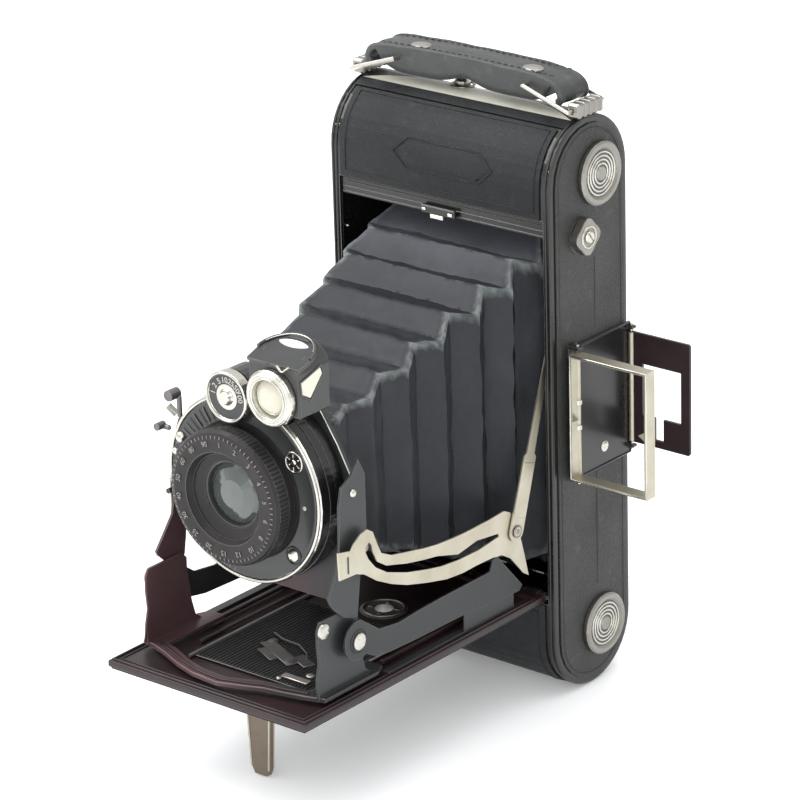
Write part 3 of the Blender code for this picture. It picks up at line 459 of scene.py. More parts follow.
# material and the CAD pieces that wear it
CAD_MATERIALS = [
    (BODY, "body_shell back_cover"),
    (LEATHER, "front_leather_top front_leather_bottom back_leather bed_leather"),
    (SIDE_LEATHER_PAINTED_LIGHTER, "side_leather_right side_leather_left"),
    (ENAMEL, "opening_lintel film_gate_frame bed_catch finder_base_plate pressure_plate "
             "take_up_spool supply_spool focus_track_plate lens_board rear_lens_cell "
             "release_lever"),
    (NICKEL, "spool_cap_upper_right spool_cap_lower_right spool_cap_lower_left "
             "strap_lug_right strap_lug_left red_window_cover back_lock_knob strut_slider"),
    (BRIGHT, "winding_key bed_release_button strap_ring_right strap_ring_left "
             "speed_dial finder_lens_ring"),
    (CREAM, "finder_front_frame strut_link_right strut_link_left "
            "slotted_strut_right slotted_strut_left"),
    (BROWN, "finder_rear_frame bed_plate"),
    (STEEL, "bed_hinge_pin tripod_bush"),
    (GREY, "bed_arm_right bed_arm_left"),
    (SHUTTER, "shutter_housing speed_dial_housing brilliant_finder"),
    (LEVER, "aperture_lever cocking_lever"),
    (TOP, "top_plate"), (RED, "red_window"), (FOOT, "bed_foot"), (BASE, "base_bracket"),
    (STANDARD, "standard_frame"), (RIM, "shutter_rim"), (CONE, "focusing_ring"),
    (LENS, "front_lens"), (FINDER_GLASS, "finder_top_lens"),
]
for material, names in CAD_MATERIALS:
    for node_name in names.split():
        slots = nodes[node_name].data.materials
        slots.clear()
        slots.append(material)


# ------------------------------------------------------------------ builders ----
def at(x, y, z):
    return Matrix.Translation(Vector((x, y, z)) * MM)


def turn(degrees, axis):
    return Matrix.Rotation(math.radians(degrees), 4, axis)


# turns local +Z towards the named axis
FACING = {"x": turn(90, "Y"), "-x": turn(-90, "Y"), "y": turn(-90, "X"), "-y": turn(90, "X"),
          "z": Matrix.Identity(4)}


def add_piece(name, mesh, material, body, smooth):
    """Put a mesh in the scene; smooth is the sharp-edge angle in degrees."""
    piece = bpy.data.objects.new(name, mesh)
    scene.collection.objects.link(piece)
    mesh.materials.append(material)
    mesh.shade_smooth()
    mesh.set_sharp_from_angle(angle=math.radians(smooth))
    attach(piece, body)
    return piece


def bridge(bm, ring_a, ring_b):
    """Quads between two closed rings of vertices."""
    count = len(ring_a)
    for i in range(count):
        j = (i + 1) % count
        bm.faces.new((ring_a[i], ring_a[j], ring_b[j], ring_b[i]))


class Shape:
    """A mesh being built up from parts given in mm."""

    def __init__(self):
        self.bm = bmesh.new()

    def vertex(self, point):
        return self.bm.verts.new(Vector(point) * MM)

    def take(self, mesh):
        self.bm.from_mesh(mesh)
        bpy.data.meshes.remove(mesh)
        return self

    def weld(self, distance):
        """Merge vertices closer than distance, in metres."""
        bmesh.ops.remove_doubles(self.bm, verts=self.bm.verts[:], dist=distance)
        return self

    def move(self, matrix):
        bmesh.ops.transform(self.bm, matrix=matrix, verts=self.bm.verts)
        return self

    def tube(self, points, radius, closed=False, sides=8, flat=1.0):
        """Tube along points; flat scales one of its two thicknesses."""
        centres = [Vector(point) * MM for point in points]
        last = len(centres) - 1
        rings = []
        side = None
        for i, centre in enumerate(centres):
            before = centres[i - 1] if closed or i > 0 else centre
            after = centres[(i + 1) % len(centres)] if closed or i < last else centre
            tangent = (after - before).normalized()
            if side is None:
                side = Vector((0, 0, 1)) if abs(tangent.z) < 0.9 else Vector((1, 0, 0))
            side = (side - tangent * side.dot(tangent)).normalized()
            up = tangent.cross(side).normalized()
            ring = []
            for j in range(sides):
                angle = 2 * math.pi * j / sides
                arm = side * math.cos(angle) + up * math.sin(angle) * flat
                ring.append(self.bm.verts.new(centre + arm * radius * MM))
            rings.append(ring)
        following = rings[1:] + rings[:1] if closed else rings[1:]
        for ring_a, ring_b in zip(rings, following):
            bridge(self.bm, ring_a, ring_b)
        if not closed:
            self.bm.faces.new(rings[0][::-1])
            self.bm.faces.new(rings[-1])
        return self

    def lathe(self, axis, centre, profile, steps=32, teeth=0, tooth=0.0, milled=()):
        """Turned form from a closed loop of (radius, height); milled rows are cut by teeth."""
        place = at(*centre) @ FACING[axis]
        rings = []
        for i in range(steps):
            angle = 2 * math.pi * i / steps
            ring = []
            for row, (radius, height) in enumerate(profile):
                if row in milled:
                    radius -= tooth * (0.5 - 0.5 * math.cos(angle * teeth))
                point = (radius * math.cos(angle), radius * math.sin(angle), height)
                ring.append(self.bm.verts.new(place @ (Vector(point) * MM)))
            rings.append(ring)
        rows = len(profile)
        for i in range(steps):
            ring_a, ring_b = rings[i], rings[(i + 1) % steps]
            for j in range(rows):
                k = (j + 1) % rows
                self.bm.faces.new((ring_a[j], ring_b[j], ring_b[k], ring_a[k]))
        return self.weld(1e-7)

    def torus(self, axis, centre, ring, radius, steps=32, sides=8, squash=1.0):
        angles = [2 * math.pi * j / sides for j in range(sides)]
        profile = [(ring + radius * math.cos(angle), squash * radius * math.sin(angle))
                   for angle in angles]
        return self.lathe(axis, centre, profile, steps)

    def box(self, x, y, z, bevel=0.15, move=None):
        """Block between pairs of limits in either order, with bevelled edges."""
        limits = [sorted(pair) for pair in (x, y, z)]
        part = bmesh.new()
        bmesh.ops.create_cube(part, size=1)
        for vert in part.verts:
            vert.co = Vector([MM * (low + (high - low) * (c + 0.5))
                              for (low, high), c in zip(limits, vert.co)])
        bmesh.ops.bevel(part, geom=part.edges[:], offset=bevel * MM, segments=1,
                        affect="EDGES", profile=0.5)
        if move is not None:
            bmesh.ops.transform(part, matrix=move, verts=part.verts)
        mesh = bpy.data.meshes.new("part")
        part.to_mesh(mesh)
        part.free()
        return self.take(mesh)

    def finish(self, name, material, body, smooth, slot=None):
        mesh = bpy.data.meshes.new(name)
        bmesh.ops.recalc_face_normals(self.bm, faces=self.bm.faces)
        self.bm.to_mesh(mesh)
        self.bm.free()
        return add_piece(name, mesh, material, body, smooth)


def tubes(name, paths, radius, material, body, closed=False, sides=8):
    shape = Shape()
    for points in paths:
        shape.tube(points, radius, closed, sides)
    return shape.finish(name, material, body, smooth=60)


def hoop(inner, outer, bottom, top):
    """Rectangular lathe profile."""
    return [(inner, bottom), (outer, bottom), (outer, top), (inner, top)]


def dome(radius, height):
    """Lathe profile of a dome on a short sunk foot."""
    foot = -0.3
    quarter = [math.pi / 2 * i / 5 for i in range(1, 5)]
    curve = [(radius * math.cos(angle), height * math.sin(angle)) for angle in quarter]
    return [(0, foot), (radius, foot), (radius, 0), *curve, (0, height)]


def pin(name, axis, centre, radius, height, body, steps, material=BRIGHT):
    shape = Shape().lathe(axis, centre, dome(radius, height), steps)
    return shape.finish(name, material, body, smooth=35, slot="nickel_plate")


def screw(name, axis, centre, radius, body, angle, height=0.55):
    """Round-head screw: a disc with two half heads either side of the cut, turned by angle."""
    shape = Shape()
    shape.lathe("z", (0, 0, 0), [
        (0, -0.25), (radius, -0.25), (radius, 0.0), (radius * 0.99, 0.12),
        (radius * 0.97, 0.18), (0, 0.18)], steps=24)
    half_cut = radius * 0.16
    start = math.asin(half_cut / radius)
    steps = 10
    # scale along the cut, scale away from the cut, height
    levels = ((1, 1, 0.1), (0.97, 0.97, height * 0.55), (0.78, 0.76, height))
    for sign in (1, -1):
        wall = sign * half_cut
        arc = []
        for i in range(steps + 1):
            around = start + (math.pi - 2 * start) * i / steps
            arc.append((radius * math.cos(around), sign * radius * math.sin(around)))
        rings = [[shape.vertex((x * along, wall + (y - wall) * away, z)) for x, y in arc]
                 for along, away, z in levels]
        for ring_a, ring_b in zip(rings, rings[1:]):
            bridge(shape.bm, ring_a, ring_b)
        shape.bm.faces.new(rings[-1])
        shape.bm.faces.new(rings[0][::-1])
    shape.move(at(*centre) @ FACING[axis] @ turn(angle, "Z"))
    return shape.finish(name, BRIGHT, body, smooth=40)


def curve_mesh(curve):
    """Mesh made from a curve or text."""
    holder = bpy.data.objects.new(curve.name, curve)
    scene.collection.objects.link(holder)
    bpy.context.view_layer.update()
    graph = bpy.context.evaluated_depsgraph_get()
    mesh = bpy.data.meshes.new_from_object(holder.evaluated_get(graph))
    bpy.data.objects.remove(holder, do_unlink=True)
    return mesh


def ring_text(name, labels, centre, radius, size, y, material, body, inward=False):
    """Raised labels round an (x, z) centre, facing -Y; labels is (degrees from top, text)."""
    shape = Shape()
    for angle, text in labels:
        curve = bpy.data.curves.new("label", "FONT")
        curve.body = text
        curve.size = size * MM
        curve.extrude = 0.06 * MM
        curve.offset = 0.02 * MM
        curve.align_x = "CENTER"
        curve.align_y = "CENTER"
        mesh = curve_mesh(curve)
        place = at(centre[0], y, centre[1]) @ turn(angle, "Y") @ at(0, 0, radius)
        place = place @ turn(90, "X")
        if inward:
            place = place @ turn(180, "Z")
        mesh.transform(place)
        shape.take(mesh)
    return shape.weld(1e-7).finish(name, material, body, smooth=30)


def ticks(name, inner, outer, angles, width, y, body, depth=0.14):
    """Radial marks round the lens axis."""
    shape = Shape()
    for angle in angles:
        shape.box((-width / 2, width / 2), (-depth, 0.05), (inner, outer), bevel=0.03,
                  move=at(0, y, 0) @ turn(angle, "Y"))
    return shape.finish(name, MARKS, body, smooth=30)


def densify(points, step):
    """Closed loop with points added so that its spacing is step or a little more."""
    result = []
    for i, point in enumerate(points):
        start, end = Vector(point), Vector(points[(i + 1) % len(points)])
        parts = max(1, int((end - start).length / step))
        result += [tuple(start + (end - start) * j / parts) for j in range(parts)]
    return result


def rectangle(normal, place, first, second, step):
    """Loop square to an axis, at a place on it, between limits on the other two axes."""
    (a0, a1), (b0, b1) = first, second
    axis = "xyz".index(normal)
    corners = [(a0, b0), (a1, b0), (a1, b1), (a0, b1)]
    return densify([c[:axis] + (place,) + c[axis:] for c in corners], step)


def solid_mesh(name, points, faces):
    mesh = bpy.data.meshes.new(name)
    mesh.from_pydata([Vector(point) * MM for point in points], [], faces)
    bm = bmesh.new()
    bm.from_mesh(mesh)
    bmesh.ops.recalc_face_normals(bm, faces=bm.faces)
    bm.to_mesh(mesh)
    bm.free()
    return mesh


def ripple(x, y, z):
    return noise.noise(Vector((x, y, z)))


# ---------------------------------------------------------------------- body ----
# the body's ends are half cylinders along X about (END_Y, +-END_Z)
END_Y, END_Z = -19.35, 73.65
FRONT_RADIUS = 19.35


def side_outline(radius):
    """Side outline of the body as (y, z)."""
    angles = [math.pi * i / 20 for i in range(21)]
    arc = [(radius * math.cos(angle), radius * math.sin(angle)) for angle in angles]
    return ([(END_Y - a, END_Z + b) for a, b in arc]
            + [(END_Y + a, -END_Z - b) for a, b in arc])


def on_front(x, z, radius=FRONT_RADIUS):
    """Point on the front skin; above END_Z the height is measured round the end."""
    if z <= END_Z:
        return (x, END_Y - radius, z)
    angle = (z - END_Z) / radius
    return (x, END_Y - radius * math.cos(angle), END_Z + radius * math.sin(angle))


def front_border(half_width, start_z, end_degrees, sign=1):
    """Line loop up the front face and over an end; sign -1 puts it at the bottom."""
    column = [(END_Y - FRONT_RADIUS, sign * start_z)]
    for i in range(11):
        angle = math.radians(end_degrees * i / 10)
        column.append((END_Y - FRONT_RADIUS * math.cos(angle),
                       sign * (END_Z + FRONT_RADIUS * math.sin(angle))))
    left = [(-half_width, y, z) for y, z in column]
    right = [(half_width, y, z) for y, z in column[::-1]]
    return densify(left + right, 4)


# rolled double ridge round both sides of the shell, as (x, outline radius)
EDGE_BEADS = ((41.9, 18.75), (40.5, 18.8))
for tag, sign, _ in SIDES:
    loops = [densify([(sign * x, y, z) for y, z in side_outline(radius)], 8)
             for x, radius in EDGE_BEADS]
    tubes("edge_beads_" + tag, loops, 0.52, BODY, "root", closed=True)

# embossed lines on the front leather
tubes("front_border_upper", [front_border(36.6, start_z=66.4, end_degrees=57)],
      0.24, LEATHER, "root", closed=True, sides=6)
tubes("front_border_lower", [front_border(35.6, start_z=64.0, end_degrees=86, sign=-1)],
      0.22, LEATHER, "root", closed=True, sides=6)

# blank six-sided plaque: outline corners as (x, height along the skin)
PLAQUE = [(-17.6, 76.2), (-12.4, 81.0), (15.6, 81.0), (20.8, 76.2), (15.6, 71.4), (-12.4, 71.4)]
tubes("front_plaque_outline", [[on_front(x, z) for x, z in densify(PLAQUE, 2.0)]],
      0.26, LEATHER, "root", closed=True, sides=6)


def plaque_field():
    """Slightly raised field inside the plaque outline."""
    columns, rows = 26, 6
    bottom, top = 72.3, 80.1
    left, right, slant = -16.2, 19.4, 4.2
    lift, sink = 0.2, 0.2
    shape = Shape()
    upper, lower = {}, {}
    for i in range(columns + 1):
        for j in range(rows + 1):
            inset = slant * abs(j / rows - 0.5) * 2
            start, end = left + inset, right - inset
            x = start + (end - start) * i / columns
            z = bottom + (top - bottom) * j / rows
            inside = 0 < i < columns and 0 < j < rows
            upper[i, j] = shape.vertex(on_front(x, z, FRONT_RADIUS + (lift if inside else 0.0)))
            lower[i, j] = shape.vertex(on_front(x, z, FRONT_RADIUS - sink))
    add = shape.bm.faces.new
    for i in range(columns):
        for j in range(rows):
            a, b, c, d = (i, j), (i + 1, j), (i + 1, j + 1), (i, j + 1)
            add((upper[a], upper[b], upper[c], upper[d]))
            add((lower[a], lower[d], lower[c], lower[b]))
    for i in range(columns):
        for j in (0, rows):
            add((upper[i, j], lower[i, j], lower[i + 1, j], upper[i + 1, j]))
    for j in range(rows):
        for i in (0, columns):
            add((upper[i, j], upper[i, j + 1], lower[i, j + 1], lower[i, j]))
    shape.finish("front_plaque_field", LEATHER, "root", smooth=40)


plaque_field()

# side leather: centre seam in two lengths, and a border line
SIDE_SKIN_X, SEAM_Y = 42.98, -17.2
for tag, sign, _ in SIDES:
    x = sign * SIDE_SKIN_X
    shape = Shape()
    for bottom, top in ((-60, -22.5), (24.0, 48)):
        shape.tube([(x, SEAM_Y, bottom), (x, SEAM_Y, top)], 0.2, sides=6)
    border = densify([(x, y, z) for y, z in side_outline(15.4)], 6)
    shape.tube(border, 0.2, closed=True, sides=6)
    shape.finish("side_emboss_" + tag, SIDE_LEATHER_PAINTED_LIGHTER, "root", smooth=60)

# turned rings and dark grooves on the spool caps
CAP_FACE_X = 44.3
for cap, sign in (("upper_right", 1), ("lower_right", 1), ("lower_left", -1)):
    low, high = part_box("spool_cap_" + cap)
    middle = (low + high) / 2 / MM
    centre = (CAP_FACE_X * sign, middle.y, middle.z)
    shape = Shape()
    for radius in (3.1, 4.3, 5.5, 6.7):
        shape.torus("x", centre, radius, 0.36, steps=48, squash=1.2)
    shape.finish("cap_rings_" + cap, BRIGHT, "root", smooth=60)
    shape = Shape()
    for radius in (2.5, 3.7, 4.9, 6.1, 7.3):
        groove = hoop(radius - 0.2, radius + 0.2, -0.1 * sign, 0.06 * sign)
        shape.lathe("x", centre, groove, steps=48)
    shape.finish("cap_grooves_" + cap, ENAMEL, "root", smooth=60)

# fixing screws of the shell and pins inside the opening
screw("shell_screw_left", "-y", (-40.6, -36.6, 79.6), 1.0, "root", angle=30)
screw("shell_screw_right", "-y", (40.7, -36.6, 79.2), 1.0, "root", angle=70)
for i, z in enumerate((46.4, 36.4)):
    for tag, x, axis in (("", 41.2, "-x"), ("left_", -41.2, "x")):
        pin("opening_pin_%s%d" % (tag, i), axis, (x, -34.6, z), 0.75, 1.9, "root", steps=16)

# back lock knob: slotted centre, ring, and washer under it
LOCK_Y, LOCK_Z = -24.2, 56.6
screw("lock_knob_screw", "x", (46.35, LOCK_Y, LOCK_Z), 2.0, "back_lock", angle=35, height=0.8)
Shape().torus("x", (46.3, LOCK_Y, LOCK_Z), 3.3, 0.35).finish(
    "lock_knob_ring", BRIGHT, "back_lock", smooth=60)
Shape().lathe("x", (43.0, LOCK_Y, LOCK_Z), [
    (0, 0), (5.7, 0), (5.7, 0.25), (5.4, 0.4), (0, 0.4)]).finish(
    "lock_knob_washer", ENAMEL, "root", smooth=40)

# latch strip over the opening
shape = Shape()
shape.box((-2.4, 2.6), (-40.0, -39.2), (57.6, 58.9), bevel=0.2)
shape.box((-5.8, -4.4), (-39.7, -39.1), (59.6, 60.4))
shape.box((4.2, 5.9), (-39.7, -39.1), (59.2, 60.2))
shape.finish("catch_tongue", BRIGHT, "root", smooth=30)
shape = Shape()
for i in range(3):
    z = 58.7 + i * 1.7
    shape.box((-39.0, 39.0), (-37.55, -37.1), (z, z + 0.5))
shape.finish("lintel_ridges", ENAMEL, "root", smooth=30)

# collar of the release button and knuckles of the strap lugs, on top
Shape().torus("z", (-8, -15.5, 92.9), 3.6, 0.5).finish("button_collar", NICKEL, "root", smooth=60)
for tag, sign, _ in SIDES:
    shape = Shape()
    for i in range(5):
        y = -24.4 + i * 2.6
        shape.box((sign * 39.5, sign * 43.95), (y - 0.75, y + 0.75), (93.2, 97.85), bevel=0.4)
    shape.finish("lug_knuckles_" + tag, NICKEL, "root", smooth=30)

# --------------------------------------------------------------- frame finder ----
FRONT_ROD_X, FRONT_ROD_Y = 46.6, -31.0
REAR_ROD_X, REAR_ROD_Y = 44.95, -1.3
screw("finder_tray_screw", "x", (44.15, -14.6, -14.6), 1.75, "root", angle=75, height=0.25)
tubes("finder_tray_lip", [rectangle("x", 44.1, (-31.2, -1.2), (-20.6, 22.0), step=8)],
      0.4, ENAMEL, "root", closed=True)
tubes("finder_front_rod", [[(FRONT_ROD_X, FRONT_ROD_Y, z) for z in (-20.9, 24.4)]],
      0.55, BRIGHT, "root", sides=12)
tubes("finder_rear_rod", [[(REAR_ROD_X, REAR_ROD_Y, z) for z in (-19.6, 22.0)]],
      0.5, BRIGHT, "root", sides=12)
Shape().lathe("z", (REAR_ROD_X, REAR_ROD_Y, 1.25), hoop(0.82, 1.02, -17.9, 17.9), 16).finish(
    "finder_rear_sleeve", CREAM, "finder_rear", smooth=40)
shape = Shape()
for z in (5.9, -2.3):
    shape.lathe("z", (FRONT_ROD_X, FRONT_ROD_Y, z), hoop(0.8, 1.25, -0.7, 0.7), steps=16)
shape.finish("finder_front_collars", BRIGHT, "finder_front", smooth=40)
# bright lip round the open front edge of the front frame
low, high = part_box("finder_front_frame")
lip = rectangle("y", low.y / MM + 0.1, (46.5, high.x / MM - 0.3),
                (low.z / MM + 0.25, high.z / MM - 0.25), step=6)
tubes("finder_front_lip", [lip], 0.34, BRIGHT, "finder_front", closed=True)

# ---------------------------------------------------------------------- back ----
tubes("back_border", [rectangle("y", -0.05, (-35.5, 35.5), (-66, 66), step=8)],
      0.2, LEATHER, "back", closed=True, sides=6)
Shape().torus("y", (0, -0.25, 20), 5.15, 0.32, steps=40).finish(
    "red_window_rim", NICKEL, "back", smooth=60)
shape = Shape()
for i in range(5):
    shape.lathe("x", (-30.5 + i * 15.2, -0.75, -70.9), hoop(0.0, 0.95, -5.4, 5.4), steps=16)
shape.finish("back_hinge_knuckles", NICKEL, "root", smooth=40)

# winding key: ridges on the wings, and the plate behind it
KEY_Y, KEY_Z = -15.3, 74
shape = Shape()
for sign in (1, -1):
    for i in range(4):
        y = KEY_Y + sign * (3.2 + i * 1.25)
        shape.box((-49.4, -46.4), (y - 0.22, y + 0.22), (72.7, 75.3), bevel=0.1)
shape.finish("winding_key_ridges", BRIGHT, "winding_key", smooth=30)
shape = Shape()
shape.torus("x", (-43.3, KEY_Y, KEY_Z), 6.0, 0.5)
shape.lathe("-x", (-42.9, KEY_Y, KEY_Z),
            [(2.4, 0), (9.4, 0), (9.4, 0.3), (8.8, 0.6), (2.4, 0.6)], steps=40)
shape.finish("winding_key_plate", NICKEL, "root", smooth=40)

# ------------------------------------------------------------------- bellows ----
# fold lines as (y, half width, half height); where the top folds out the side folds in
FOLDS = [
    (-10.9, 33.2, 51.6), (-17.0, 33.6, 52.4), (-24.5, 28.9, 54.0), (-31.5, 34.4, 47.8),
    (-38.5, 28.3, 49.6), (-45.0, 33.0, 43.2), (-51.5, 26.9, 45.0), (-58.0, 30.7, 38.8),
    (-65.0, 24.7, 40.1), (-72.0, 28.3, 34.4), (-79.0, 22.8, 34.3), (-86.0, 25.9, 28.9),
    (-93.0, 21.0, 28.6), (-100.0, 23.4, 23.7), (-107.0, 19.4, 22.8), (-112.0, 20.6, 20.6),
    (-116.4, 20.0, 20.0)]
PANEL_ROWS = 8
CORNER_CUT = 0.9
BELLOWS_THICKNESS = 0.8
# eight stretches round a ring from the right side over the top: (outward x, z), steps
STRETCHES = [((1, 0), 40), ((0.7, 0.7), 2), ((0, 1), 96), ((-0.7, 0.7), 2),
             ((-1, 0), 40), ((-0.7, -0.7), 2), ((0, -1), 96), ((0.7, -0.7), 2)]
SIDE_STRETCHES, LEVEL_STRETCHES = (0, 4), (2, 6)
# places in x of small tucks and pale creases on the rear panels
TUCKS = (-12.8, -10.6, 11.4, 13.6)
CREASES = (-12.8, -10.9, 11.4, 13.4)


def clamp(value):
    return max(0.0, min(1.0, value))


def hump(x, centre, width):
    return math.exp(-((x - centre) / width) ** 2)


def bellows_ring(panel, part):
    """Points and wear values of one ring, a share part of the way across a panel."""
    y, half_x, half_z = [a + (b - a) * part for a, b in zip(FOLDS[panel], FOLDS[panel + 1])]
    to_fold = abs(part - 0.5) * 2   # 1 at the folds, 0 mid-panel
    stiffener = 0.22 * clamp((0.84 - to_fold) / 0.10)
    sink = -0.30 * (1 - to_fold * to_fold)
    fold = max(0.0, 1 - (1 - to_fold) / 0.16)
    # displacement and wear die out within 4 mm of either end
    fade = clamp(min((FOLDS[0][0] - y) / 4.0, (y - FOLDS[-1][0]) / 4.0))
    in_x, in_z = half_x - CORNER_CUT, half_z - CORNER_CUT
    corners = [(half_x, -in_z), (half_x, in_z), (in_x, half_z), (-in_x, half_z),
               (-half_x, in_z), (-half_x, -in_z), (-in_x, -half_z), (in_x, -half_z)]
    points, wear = [], []
    for stretch, ((out_x, out_z), steps) in enumerate(STRETCHES):
        start, end = corners[stretch], corners[(stretch + 1) % 8]
        level = stretch in LEVEL_STRETCHES
        sideways = stretch in SIDE_STRETCHES
        for step in range(steps):
            x, z = [a + (b - a) * step / steps for a, b in zip(start, end)]
            lift, near_corner = 0.0, 1.0
            if level or sideways:
                inset = min(step / steps, 1 - step / steps)
                near_corner = max(0.0, 1 - inset / 0.06)
                lift = sink * min(1.0, inset / 0.12) + stiffener * clamp((inset - 0.035) / 0.02)
            waves = (0.55 * ripple(x * 0.11, y * 0.16, z * 0.11)
                     + 0.24 * ripple(x * 0.33 + 9, y * 0.5, z * 0.33)
                     + 0.10 * ripple(x * 0.9, y * 1.3 + 4, z * 0.9))
            if level and panel in (1, 2, 3):
                waves += sum(0.22 * hump(x, centre, 0.55) for centre in TUCKS)
            lift = (lift + waves) * fade
            points.append((x + out_x * lift, y + 0.35 * waves * fade, z + out_z * lift))
            crease = 0.0
            if level and panel in (1, 2, 3, 4):
                crease = max(0.42 * hump(x, centre, 0.38)
                             * (0.5 + abs(ripple(centre, y * 0.35, 2.0))) for centre in CREASES)
            rub = 0.95 * near_corner * (0.55 + 0.9 * abs(ripple(x * 0.5, y * 0.5, z * 0.5)))
            rub += 0.28 * fold * (0.8 if sideways else 1)
            wear.append((crease + rub) * fade)
    return points, wear


def bellows_mesh():
    """Folded skin with an inner wall; "worn" holds the wear of the outer points."""
    panels = len(FOLDS) - 1
    stations = [(panel, row / PANEL_ROWS) for panel in range(panels) for row in range(PANEL_ROWS)]
    stations.append((panels - 1, 1.0))
    outer, worn = [], []
    for panel, part in stations:
        points, wear = bellows_ring(panel, part)
        outer += points
        worn += wear

    def inward(value):
        return value - BELLOWS_THICKNESS * max(-1, min(1, value / 3))

    inner = [(inward(x), y, inward(z)) for x, y, z in outer]
    count = sum(steps for _, steps in STRETCHES)
    offset = len(outer)
    last = offset - count
    faces = []
    for row in range(0, last, count):
        for j in range(count):
            a, b = row + j, row + (j + 1) % count
            c, d = b + count, a + count
            faces.append((a, b, c, d))
            faces.append((offset + a, offset + d, offset + c, offset + b))
    for j in range(count):
        k = (j + 1) % count
        faces.append((j, offset + j, offset + k, k))
        faces.append((last + j, last + k, offset + last + k, offset + last + j))
    mesh = solid_mesh("bellows_leather", outer + inner, faces)
    attribute = mesh.attributes.new("worn", "FLOAT", "POINT")
    attribute.data.foreach_set("value", worn + [0.0] * len(inner))
    return mesh


bellows = add_piece("bellows_leather", bellows_mesh(), bellows_leather(), "root", smooth=50)
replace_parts(bellows, "bellows")
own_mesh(bellows)

# --------------------------------------------------------------------- strap ----
STRAP_Y, STRAP_HALF_WIDTH = -19.4, 6.8
# side view as (x, z), from under the left end over the top to under the right end
STRAP_PATH = [
    (-36.0, 97.0), (-37.3, 98.6), (-37.4, 100.4), (-36.2, 102.3), (-33.8, 103.5),
    (-30.0, 104.1), (-24, 104.55), (-15, 104.8), (0, 104.95), (15, 104.8), (24, 104.5),
    (30.0, 103.9), (33.8, 103.0), (36.2, 101.6), (37.4, 99.7), (37.3, 98.0), (36.0, 96.9)]
# section as (share of the half width, height off the path)
STRAP_TOP = [
    (-1.0, -0.35), (-0.985, 0.15), (-0.93, 0.55), (-0.85, 0.72), (-0.78, 0.55), (-0.72, 0.30),
    (-0.5, 0.42), (-0.25, 0.55), (0, 0.6), (0.25, 0.55), (0.5, 0.42), (0.72, 0.30),
    (0.78, 0.55), (0.85, 0.72), (0.93, 0.55), (0.985, 0.15), (1.0, -0.35)]
STRAP_UNDER = [(0.97, -0.95), (0.85, -1.15), (0.5, -1.1), (0, -1.1), (-0.5, -1.1),
               (-0.85, -1.15), (-0.97, -0.95)]


def strap_centres():
    """Catmull-Rom curve through the strap path, eight points to a stretch."""
    path = [Vector(point) for point in STRAP_PATH]
    padded = path[:1] + path + path[-1:]
    centres = []
    for p0, p1, p2, p3 in zip(padded, padded[1:], padded[2:], padded[3:]):
        for i in range(8):
            t = i / 8
            centres.append(0.5 * ((2 * p1) + (p2 - p0) * t
                                  + (2 * p0 - 5 * p1 + 4 * p2 - p3) * t * t
                                  + (3 * p1 - p0 - 3 * p2 + p3) * t ** 3))
    return centres + path[-1:]


def strap_mesh():
    """Band with thick rounded edges, a sunk middle and ends that curl down and under."""
    centres = strap_centres()
    last = len(centres) - 1
    section = STRAP_TOP + STRAP_UNDER
    points = []
    for i, centre in enumerate(centres):
        x = centre.x
        tangent = (centres[min(i + 1, last)] - centres[max(i - 1, 0)]).normalized()
        normal = Vector((-tangent.y, tangent.x))
        waist = 1.0 - 0.05 * hump(i / last, 0.5, 0.2)
        puff = 1.0 + 0.5 * max(0, abs(x) - 30.5) / 7
        # the underside is padded out between the curled ends
        pad = 1.0
        if abs(x) < 33.6 and centre.y > 101:
            ends = max(0.0, 1 - (abs(x) / 33.6) ** 9) ** 0.6
            pad += (6.9 - 2.2 * hump(x, 0, 5.5)) * ends
        sway = 0.25 * ripple(x * 0.1, 5, 5)
        for row, (share, height) in enumerate(section):
            waves = 0.30 * ripple(x * 0.12, share * 1.3, 3.0)
            waves += 0.12 * ripple(x * 0.5, share * 3, 8.0)
            if row >= len(STRAP_TOP):
                height *= pad * (1.0 if abs(share) < 0.9 else 0.93)
                waves *= 0.4
            point = centre + normal * (height * puff + waves)
            y = STRAP_Y + share * STRAP_HALF_WIDTH * waist + sway
            points.append((point.x, y, point.y))
    count = len(section)
    faces = []
    for i in range(last):
        for j in range(count):
            a, b = i * count + j, i * count + (j + 1) % count
            faces.append((a, b, b + count, a + count))
    faces.append(tuple(range(count))[::-1])
    faces.append(tuple(last * count + j for j in range(count)))
    return solid_mesh("strap_leather", points, faces)


strap = add_piece("strap_leather", strap_mesh(), STRAP, "handle", smooth=60)
soften = strap.modifiers.new("soft", "SUBSURF")
soften.levels = soften.render_levels = 1
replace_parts(strap, "handle_strap")

# stitches along both edges: (x from the stitch's start, z from the strap's top)
STITCH = ((0, -0.12), (0.5, 0.10), (1.1, 0.10), (1.6, -0.12))
STITCH_ROW, STITCH_PITCH = 4.422, 2.5
shape = Shape()
for y in (STRAP_Y - STITCH_ROW, STRAP_Y + STITCH_ROW):
    for i in range(27):
        x = -33.0 + STITCH_PITCH * i
        top = 105.37 - 0.42 * (x / 26) ** 2
        shape.tube([(x + along, y, top + rise) for along, rise in STITCH], 0.16, sides=6)
shape.finish("strap_stitches", STRAP_EDGE, "handle", smooth=60)

# low oval rivets
RIVET = [(0, -0.6), (3.6, -0.6), (3.6, 0.0), (3.2, 0.28), (2.6, 0.22), (2.2, 0.42),
         (1.2, 0.62), (0, 0.68)]
for tag, x in (("left", -19.0), ("right", 24.0)):
    shape = Shape().lathe("z", (0, 0, 0), RIVET)
    shape.move(at(x, -21.5, 105.15) @ Matrix.Diagonal((1.0, 0.72, 1.0, 1.0)))
    shape.finish("strap_rivet_" + tag, STEEL, "handle", smooth=50)

